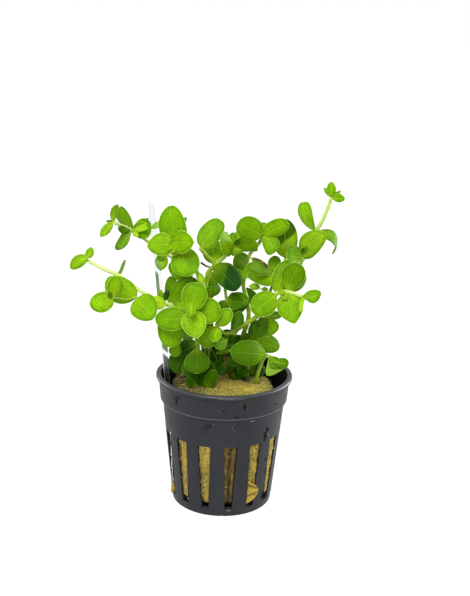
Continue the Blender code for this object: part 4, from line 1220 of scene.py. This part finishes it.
def wool_side_marks(point, degrees, height):
    """How deep the plug's side is sunk at a point, and how dark and how brown it is.

    The first slot shows a dark cleft, its darkness painted shade, browner round it. Each slot has painted
    shade toward its left edge, browner and darker, those on the left more so. Dark streaks run up the side.
    """
    cleft = off_angle(degrees, SLOT_FIRST_ANGLE)
    band = math.exp(-(cleft / WOOL_CLEFT_SPREAD) ** 2) if height < SLOT_TOP_Z + 2 * MM else 0.0
    near = math.exp(-(cleft / WOOL_CLEFT_STAIN) ** 2)
    turned = (degrees % 360 - WOOL_LIT_ANGLE) / (WOOL_SHADED_ANGLE - WOOL_LIT_ANGLE)
    edge = limit((-slot_share(degrees, height) - 0.05) / 0.8) * limit(turned, WOOL_LIT_SHARE)
    wander = noise.noise(Vector((0, 0, height * 300)))
    patch = noise_at(point, 420, 300, 7)
    streak = noise_at(point, 900, 180, 3)
    dark = max(band * max(0.0, 0.8 + wander), 0.4 * edge, limit((streak - 0.28) * 3.0, 0.0, 0.55))
    brown = max(limit(near * (1.6 + 2.0 * patch)), limit(edge * (1.2 + 1.6 * patch)))
    return WOOL_CLEFT_DEPTH * band, dark, brown


def wool_top_marks(point, pits):
    """How deep the plug's top is sunk at a point round the stems, and how dark and how brown it is: painted
    shade in the pit round each stem and over the shaded left of the top.
    """
    shaded = limit((point.x - WOOL_TOP_LIT_X) / (WOOL_TOP_SHADED_X - WOOL_TOP_LIT_X))
    sunk = 0.0
    dark = 0.6 * shaded
    for pit in pits:
        gap = math.hypot(point.x - pit.x, point.y - pit.y)
        if gap < 2 * WOOL_PIT:
            depth = math.exp(-(gap / WOOL_PIT) ** 2 * 1.6)
            sunk += WOOL_PIT_DEPTH * depth
            dark = max(dark, depth * 0.8)
    return sunk, dark, 0.75 * shaded


def build_rockwool(material, fibre):
    """Plug of mineral wool with a rough surface, a pit round each stem and loose fibres on it."""
    pits = [spot(shoot.stem[0]) for shoot in SHOOTS.values() if shoot.fork is None]
    rings = [(1.0, WOOL_FOOT_Z + (WOOL_EDGE_Z - WOOL_FOOT_Z) * row / WOOL_SIDE_ROWS)
             for row in range(WOOL_SIDE_ROWS)]
    rings += [(math.cos(math.pi / 2 * row / WOOL_TOP_ROWS) ** 0.8, WOOL_EDGE_Z)
              for row in range(WOOL_TOP_ROWS)]
    vertices = []
    tones = []
    for share, height in rings:
        for step in range(WOOL_SEGMENTS):
            degrees = 360 * step / WOOL_SEGMENTS
            point = wool_point(degrees, share, height)
            if share == 1:
                out = Vector((point.x, point.y, 0)).normalized()
                sunk, dark, brown = wool_side_marks(point, degrees, height)
            else:
                out = UP
                sunk, dark, brown = wool_top_marks(point, pits)
            rough = noise.fractal(point * WOOL_GRAIN_SCALE, 1.0, 2.0, 4) * WOOL_GRAIN
            lump = noise.noise(point * WOOL_LUMP_SCALE) * (WOOL_SIDE_LUMP if share == 1 else WOOL_TOP_LUMP)
            golden = limit(noise.noise(point * WOOL_GOLD_SCALE + Vector((3, 1, 5))) * 1.6)
            vertices.append(point + out * (rough + lump - sunk))
            tones.append((dark, brown, golden))
    form = Form()
    form.add(vertices, ring_faces(len(rings), WOOL_SEGMENTS), {"wool_tone": tones})
    add_wool_flap(form)
    add_wool_tuft(form)
    form.build("rockwool_plug", material, ["rockwool"])
    build_fibres(fibre, pits)


def flap_point(centre, outward, aside, reach, rise):
    """Point of the flap's middle sheet, at shares of its way out to its tip and of its height."""
    tall = FLAP_HEIGHT * (1 - reach) ** 0.8 + FLAP_TIP_HEIGHT
    lift = FLAP_LIFT * math.sin(reach * math.pi * 0.7) ** 0.8
    fold = FLAP_FOLD * math.sin(FLAP_FOLDS * rise + 2) * math.sin(math.pi * reach) ** 0.5
    return (centre + aside * (FLAP_START + FLAP_WIDTH * reach) + outward * (lift + fold)
            + UP * (rise * tall + FLAP_CLIMB * reach))


def add_wool_flap(form):
    """Torn flap of wool that folds out through a slot on the right of the front."""
    degrees = SLOT_FIRST_ANGLE + SLOT_PITCH
    angle = math.radians(degrees)
    outward = Vector((math.cos(angle), math.sin(angle), 0))
    aside = Vector((-math.sin(angle), math.cos(angle), 0))
    centre = outward * (wool_radius(degrees, FLAP_Z) - FLAP_SINK) + UP * FLAP_Z
    vertices = []
    tones = []
    for side in (1, -1):
        for row in range(FLAP_STEPS + 1):
            for column in range(FLAP_STEPS + 1):
                rise = column / FLAP_STEPS - 0.5
                point = flap_point(centre, outward, aside, row / FLAP_STEPS, rise)
                point += outward * (side * FLAP_THICKNESS / 2)
                point += outward * (noise.noise(point * 1400) * FLAP_GRAIN)
                vertices.append(point)
                # Brown on one side of each fold of the flap: painted shade
                tones.append((0.0, max(0.0, 0.5 * math.sin(FLAP_FOLDS * rise + 4)), 0.6))
    wide = FLAP_STEPS + 1
    back = wide * wide
    faces = []
    for one in (row * wide + column for row in range(FLAP_STEPS) for column in range(FLAP_STEPS)):
        faces.append((one, one + 1, one + wide + 1, one + wide))
        faces.append((back + one, back + one + wide, back + one + wide + 1, back + one + 1))
    rim = list(range(wide))
    rim += [row * wide + FLAP_STEPS for row in range(1, wide)]
    rim += [FLAP_STEPS * wide + column for column in range(FLAP_STEPS - 1, -1, -1)]
    rim += [row * wide for row in range(FLAP_STEPS - 1, 0, -1)]
    for one, two in zip(rim, rim[1:] + rim[:1]):
        faces.append((two, one, back + one, back + two))
    form.add(vertices, faces, {"wool_tone": tones})


def add_wool_tuft(form):
    """Small torn lump of wool at the foot of a slot on the left."""
    centre = pot_spot(TUFT_PIXEL)
    vertices = []
    for ring in range(1, TUFT_RINGS):
        turn = math.pi * ring / TUFT_RINGS
        for step in range(TUFT_SIDES):
            angle = 2 * math.pi * step / TUFT_SIDES
            way = Vector((math.sin(turn) * math.cos(angle), math.sin(turn) * math.sin(angle),
                          math.cos(turn)))
            reach = 1 + 0.7 * noise.noise(way * 1.7 + centre * 100) + 0.3 * noise.noise(way * 6)
            vertices.append(centre + Vector(part * side for part, side in zip(way, TUFT_SIZE)) * reach)
    tones = [(0.0, 0.0, 0.7)] * len(vertices)
    form.add(vertices, ring_faces(TUFT_RINGS - 1, TUFT_SIDES), {"wool_tone": tones})


def path_direction(points, index):
    """Direction of a path at one of its points."""
    return (points[min(index + 1, len(points) - 1)] - points[max(index - 1, 0)]).normalized()


def thin_tube(points, radii):
    """Vertices and faces of a three-sided tube with its own radius at each point."""
    vertices = []
    for index, point in enumerate(points):
        along = path_direction(points, index)
        side = along.orthogonal().normalized()
        other = along.cross(side)
        for step in range(3):
            angle = 2 * math.pi * step / 3
            vertices.append(point + (side * math.cos(angle) + other * math.sin(angle)) * radii[index])
    return vertices, ring_faces(len(points), 3)


def build_fibres(material, pits):
    """Loose fibres that lie on the plug, most of them on its top."""
    draw = random.Random(FIBRE_SEED)
    form = Form()
    for _ in range(FIBRE_COUNT):
        degrees = draw.uniform(0, 360)
        on_top = draw.random() < FIBRE_TOP_SHARE
        share = math.sqrt(draw.random()) * 0.98 if on_top else 1
        height = WOOL_EDGE_Z if on_top else draw.uniform(FIBRE_FOOT_Z, WOOL_EDGE_Z)
        point = wool_point(degrees, share, height)
        if any(math.hypot(point.x - pit.x, point.y - pit.y) < WOOL_PIT for pit in pits):
            continue
        out = UP if on_top else Vector((point.x, point.y, 0)).normalized()
        heading = out.orthogonal().normalized()
        heading.rotate(Matrix.Rotation(draw.uniform(0, 2 * math.pi), 3, out))
        turn = draw.uniform(-FIBRE_TURN, FIBRE_TURN)
        length = draw.uniform(*FIBRE_LENGTHS) * MM
        lift = noise.noise(point * WOOL_LUMP_SCALE) * WOOL_TOP_LUMP + draw.uniform(0.0, 0.3) * MM
        points = []
        for index in range(FIBRE_STEPS + 1):
            place = index / FIBRE_STEPS - 0.5
            side = out.cross(heading) * (turn * length * place * place)
            rise = out * (lift + draw.uniform(0, 0.12) * MM)
            points.append(point + heading * (length * place) + side + rise)
        radius = draw.uniform(*FIBRE_RADII) * MM
        vertices, faces = thin_tube(points, [radius] * len(points))
        form.add(vertices, faces, {"fibre_tone": [(draw.random(), 0.0, 0.0)] * len(vertices)})
    form.build("rockwool_fibres", material)


def build_label(material):
    """Clear strip that stands between the plug and the wall, with rounded long edges."""
    along = (LABEL_TOP - LABEL_FOOT).normalized()
    turn = math.radians(LABEL_EDGE_TURN)
    across = Vector((math.cos(turn), math.sin(turn), 0))
    across = (across - along * across.dot(along)).normalized()
    out = along.cross(across)
    vertices = []
    for row in range(LABEL_ROWS + 1):
        share = row / LABEL_ROWS
        centre = LABEL_FOOT.lerp(LABEL_TOP, share) + out * (math.sin(math.pi * share) * LABEL_BOW)
        for step in range(LABEL_SIDES):
            angle = 2 * math.pi * step / LABEL_SIDES
            reach, rise = [math.copysign(abs(part) ** 0.5, part)
                           for part in (math.cos(angle), math.sin(angle))]
            vertices.append(centre + across * (reach * LABEL_WIDTH / 2)
                            + out * (rise * LABEL_THICKNESS / 2))
    places = [((vertex - LABEL_FOOT).dot(across) / LABEL_WIDTH + 0.5, vertex.z / MM, 0.0)
              for vertex in vertices]
    form = Form()
    form.add(vertices, ring_faces(LABEL_ROWS + 1, LABEL_SIDES), {"film_place": places})
    label = form.build("clear_label", material, ["label_strip"])
    label.data.set_sharp_from_angle(angle=math.radians(LABEL_SHARP_ANGLE))


def smooth_path(points, steps):
    """Points of a smooth curve through the given points, with the same number of steps between each two."""
    ends = [points[0] * 2 - points[1]] + list(points) + [points[-1] * 2 - points[-2]]
    path = []
    for index in range(1, len(ends) - 2):
        before, start, end, after = ends[index - 1:index + 3]
        for step in range(steps):
            way = step / steps
            path.append(0.5 * (2 * start + (end - before) * way
                               + (2 * before - 5 * start + 4 * end - after) * way * way
                               + (3 * start - before - 3 * end + after) * way * way * way))
    path.append(points[-1].copy())
    return path


def stem_radius(share):
    return STEM_FOOT_RADIUS + (STEM_TIP_RADIUS - STEM_FOOT_RADIUS) * share


def beside_stem(node, stem_way, grow_way, distance):
    """Place beside a stem's axis, on the side that a leaf or a branch grows to."""
    aside = grow_way - stem_way * grow_way.dot(stem_way)
    return node + aside.normalized() * distance


def stem_points(shoot):
    """Centre points of a stem, which starts in its hole in the plug or in the stem that it forks from."""
    points = [spot(place) for place in shoot.stem]
    if shoot.fork is None:
        points.insert(0, Vector((points[0].x, points[0].y, STEM_ROOT_Z)))
        return points
    parent, index = shoot.fork
    parent_way = path_direction([spot(place) for place in SHOOTS[parent].stem], index)
    grow_way = (points[1] - points[0]).normalized()
    points[0] = beside_stem(points[0], parent_way, grow_way, STEM_FOOT_RADIUS / 2)
    return points


def leaf_frame(base, tip, roll):
    """Directions of a leaf: along it, across it and out of its upper side."""
    along = (tip - base).normalized()
    toward = (VIEW_EYE - base).normalized()
    out = (toward - along * toward.dot(along)).normalized()
    out = Matrix.Rotation(math.radians(roll), 3, along) @ out
    return along, along.cross(out), out


def leaf_half_width(share, leaf):
    """Half width of a leaf at a share of its length, as a share of its greatest.

    It is greatest at the leaf's peak. The higher foot and end are, the more each end tapers.
    """
    if share < leaf.peak:
        return max(1 - ((leaf.peak - share) / leaf.peak) ** 2, 0.0) ** leaf.foot
    return max(1 - ((share - leaf.peak) / (1 - leaf.peak)) ** 2, 0.0) ** leaf.end


def leaf_section(share, leaf, half, small):
    """Half width, thickness and growth out of its stalk of a leaf at a share of its length."""
    grown = limit(share / BLADE_START)
    width = half * leaf_half_width(limit(share), leaf)
    if share < 0.5:
        stalk = STALK_HALF_WIDTH * max(small, STALK_LEAST)
        width = (stalk ** 4 + width ** 4) ** 0.25
    thick = STALK_THICKNESS * small * (1 - grown) + LEAF_THICKNESS * grown
    return width, thick * math.sqrt(max(1 - max(share, 0.0) ** 10, 0.0)), grown


def add_leaf(form, node, start, tip, leaf, seed, rim):
    """Add one leaf: a stalk out of the stem and a thin blade with a rounded rim."""
    draw = random.Random(seed)
    along, across, out = leaf_frame(start, tip, leaf.roll)
    length = (tip - start).length
    half = leaf.width * MM / 2
    small = min(1.0, half / (3 * MM))
    phase = draw.uniform(0, 2 * math.pi)
    wave = draw.uniform(*LEAF_WAVES) * half
    skew = draw.uniform(-LEAF_SWAY, LEAF_SWAY) + leaf.bend
    curl = draw.uniform(-LEAF_SWAY, LEAF_SWAY) * length
    glow = (leaf.glow, leaf.dusk, rim * min(1.0, (leaf.width / FULL_RIM_WIDTH) ** 2))
    vertices = []
    values = {"leaf_place": [], "leaf_form": [], "leaf_tone": [], "leaf_glow": []}

    def put(point, place, shape, under):
        vertices.append(point)
        for numbers, added in zip(values.values(), (place, shape, (leaf.tone, leaf.pale, under), glow)):
            numbers.append(added)

    shares = [*STALK_SHARES, *(0.5 - 0.5 * math.cos(math.pi * (row + 0.6) / (LEAF_ROWS + 0.6))
                               for row in range(LEAF_ROWS))]
    for share in shares:
        width, thick, grown = leaf_section(share, leaf, half, small)
        if share < 0:
            centre = node.lerp(start, 1 - share / STALK_SHARES[0])
        else:
            hump = 4 * share * (1 - share)
            centre = (start + along * (length * share) + out * (leaf.arch * length * hump)
                      + across * (skew * length * hump) + out * (curl * share ** 3))
        for step in range(LEAF_SIDES):
            angle = 2 * math.pi * step / LEAF_SIDES
            offset = math.cos(angle)
            sine = math.sin(angle)
            side = math.copysign(abs(sine) ** 0.6, sine)
            aside = offset * width * (1 - leaf.lean * math.copysign(1, offset) * grown)
            fold = leaf.cup * half * (abs(aside) / half) ** 1.5
            groove = GROOVE_DEPTH * math.exp(-(aside / GROOVE_WIDTH) ** 2) * grown
            crest = math.sin(phase + LEAF_WAVE_TURN * max(share, 0.0) + 2 * offset)
            ripple = wave * crest * offset ** 2 * grown
            gap = min(width - abs(aside), (1 - share) * length * 0.8)
            put(centre + across * aside + out * (fold - groove + ripple + side * thick / 2),
                (aside / MM, share * length / MM, gap / MM), (offset, width / MM, share),
                1 - leaf.under if sine < 0 else leaf.under)
    faces = ring_faces(len(shares), LEAF_SIDES, closed_end=False)
    apex = len(vertices)
    last = apex - LEAF_SIDES
    put(tip + out * curl, (0.0, length / MM, 0.0), (0.0, 0.0, 1.0), leaf.under)
    faces += [(last + step, last + (step + 1) % LEAF_SIDES, apex) for step in range(LEAF_SIDES)]
    form.add(vertices, [tuple(reversed(face)) for face in faces], values)


def add_stem(form, points, shoot, nodes):
    """Add a stem that swells at its leaf nodes."""
    path = smooth_path(points, STEM_STEPS)
    vertices = []
    places = []
    tones = []
    guide = Vector((0, 1, 0))
    run = 0.0
    for index, point in enumerate(path):
        share = index / (len(path) - 1)
        root_share = share if shoot.fork is None else 0.5 + share / 2
        along = path_direction(path, index)
        side = guide.cross(along).normalized()
        guide = along.cross(side)
        near = max([math.exp(-((point - node).length / NODE_REACH) ** 2) for node in nodes] or [0.0])
        swell = 1 + NODE_SWELLING * near + STEM_UNEVENNESS * noise.noise(point * 500)
        radius = stem_radius(share) * shoot.girth * swell
        if share == 1:
            radius *= 0.6
        run += (point - path[max(index - 1, 0)]).length
        for step in range(STEM_SIDES):
            angle = 2 * math.pi * step / STEM_SIDES
            ridge = 1 + STEM_RIDGE_HEIGHT * math.cos(STEM_RIDGES * angle)
            offset = side * math.cos(angle) + guide * math.sin(angle)
            vertices.append(point + offset * (radius * ridge))
            places.append((angle / 6.3, run / MM, near))
            tones.append((shoot.tone, root_share, shoot.dark))
    form.add(vertices, ring_faces(len(path), STEM_SIDES), {"stem_place": places, "stem_tone": tones})


def add_bud(form, top, way, size, seed):
    """Add the two folded young leaves at a shoot's end."""
    draw = random.Random(seed)
    side = way.orthogonal().normalized()
    side.rotate(Matrix.Rotation(draw.uniform(0, math.pi), 3, way))
    for turn in (1, -1):
        tip = top + way * (BUD_LENGTH * size * MM) + side * (turn * BUD_SPREAD * size * MM)
        leaf = Leaf(0, None, BUD_LENGTH * size, BUD_TONE, roll=draw.uniform(-BUD_ROLL, BUD_ROLL),
                    cup=BUD_CUP, pale=BUD_PALE)
        add_leaf(form, top - way * BUD_SINK, top, tip, leaf, seed + turn + 2, BUD_RIM_HIGHLIGHT)


def build_shoot(number, name, shoot, stem_skin, leaf_skin):
    """A stem, its small leaves in one piece, and a separate piece for each large leaf."""
    points = stem_points(shoot)
    first = 1 if shoot.fork is None else 0
    stem_node = [name + "_stem"] if name + "_stem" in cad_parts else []
    leaf_points = [points[leaf.at + first] for leaf in shoot.leaves if not isinstance(leaf.at, tuple)]
    small = Form()
    large = 0
    for count, leaf in enumerate(shoot.leaves):
        tip = spot(leaf.tip)
        seed = 100 * number + count
        node = spot(leaf.at) if isinstance(leaf.at, tuple) else points[leaf.at + first]
        if leaf.width < SEPARATE_LEAF_WIDTH:
            sink = (tip - node).normalized() * SMALL_LEAF_SINK
            add_leaf(small, node - sink, node + sink, tip, leaf, seed, shoot.rim)
            continue
        large += 1
        index = leaf.at + first
        distance = stem_radius(index / (len(points) - 1)) * shoot.girth * LEAF_ROOT + LEAF_STAND_OFF
        start = beside_stem(node, path_direction(points, index), tip - node, distance)
        blade = Form()
        add_leaf(blade, node, start, tip, leaf, seed, shoot.rim)
        blade.build("%s_blade_%d" % (name, large), leaf_skin, ["%s_leaf_%d" % (name, large)])
    if shoot.bud:
        add_bud(small, points[-1], path_direction(points, len(points) - 1), shoot.bud, BUD_SEED + number)
    if small.vertices:
        small.build(name + "_small_leaves", leaf_skin, stem_node)
    stalk = Form()
    add_stem(stalk, points, shoot, leaf_points)
    stalk.build(name + "_stalk", stem_skin, stem_node)


def build_twigs(material):
    """Thin dry twigs and shrivelled calyxes that hang on the stems."""
    form = Form()
    for twig in TWIGS:
        path = [point + UP * (noise.noise(point * 900) * 0.15 * MM)
                for point in smooth_path([spot(place) for place in twig.spots], TWIG_STEPS)]
        radii = [(twig.start + (twig.end - twig.start) * index / (len(path) - 1)) * MM
                 for index in range(len(path))]
        form.add(*thin_tube(path, radii), {})
    form.build("dry_calyxes", material)


def build_camera():
    forward, right, up = view_axes()
    data = bpy.data.cameras.new("camera")
    camera = bpy.data.objects.new("camera", data)
    bpy.context.collection.objects.link(camera)
    turn = Matrix((right, up, -forward)).transposed()
    camera.matrix_world = Matrix.Translation(VIEW_EYE) @ turn.to_4x4()
    data.sensor_width = SENSOR_WIDTH
    data.lens = VIEW_FOCAL * SENSOR_WIDTH / PICTURE_LONG_SIDE
    data.clip_start = VIEW_NEAR
    data.clip_end = VIEW_FAR
    bpy.context.scene.camera = camera
    bpy.context.scene.view_settings.view_transform = "Standard"


def build_lights():
    for name, light in LIGHTS.items():
        data = bpy.data.lights.new(name, "AREA")
        data.energy = light.power
        data.size = light.size
        lamp = bpy.data.objects.new(name, data)
        lamp.location = light.place
        lamp.rotation_euler = (LIGHT_AIM - Vector(light.place)).to_track_quat("-Z", "Y").to_euler()
        bpy.context.collection.objects.link(lamp)


def build_world():
    """White surroundings to the eye, which light the plant more softly."""
    world = bpy.data.worlds.new("white_room")
    bpy.context.scene.world = world
    shader = Shader(world, "Background")
    rays = shader.node("LightPath").outputs
    seen = shader.most(rays["Is Camera Ray"], shader.times(rays["Is Glossy Ray"], GLOSS_LIGHT))
    strength = shader.plus(ROOM_LIGHT, shader.times(seen, 1 - ROOM_LIGHT))
    shader.set(Color=(1.0, 1.0, 1.0), Strength=strength)


def build_floor():
    """White table, bright enough to vanish into the surroundings but for a faint shadow at the pot."""
    corners = [Vector(corner) * FLOOR_REACH for corner in ((-1, -1, 0), (1, -1, 0), (1, 1, 0), (-1, 1, 0))]
    floor = new_object("floor", corners, [(0, 1, 2, 3)])
    shader = new_shader("white_floor")
    seen = shader.node("LightPath").outputs["Is Camera Ray"]
    shader.set(Base_Color=FLOOR_GREY, Roughness=0.9, Specular_IOR_Level=0.0,
               Emission_Color=(1.0, 1.0, 1.0),
               Emission_Strength=shader.ease(seen, 0.0, 1.0, FLOOR_BOUNCE, FLOOR_WHITE))
    floor.data.materials.append(shader.owner)


def main():
    build_camera()
    build_world()
    build_lights()
    build_floor()
    build_pot(pot_material())
    build_rockwool(wool_material(), fibre_material())
    build_label(clear_material())
    stem_skin = stem_material()
    leaf_skin = leaf_material()
    for number, (name, shoot) in enumerate(SHOOTS.items()):
        build_shoot(number, name, shoot, stem_skin, leaf_skin)
    build_twigs(dry_material())


main()
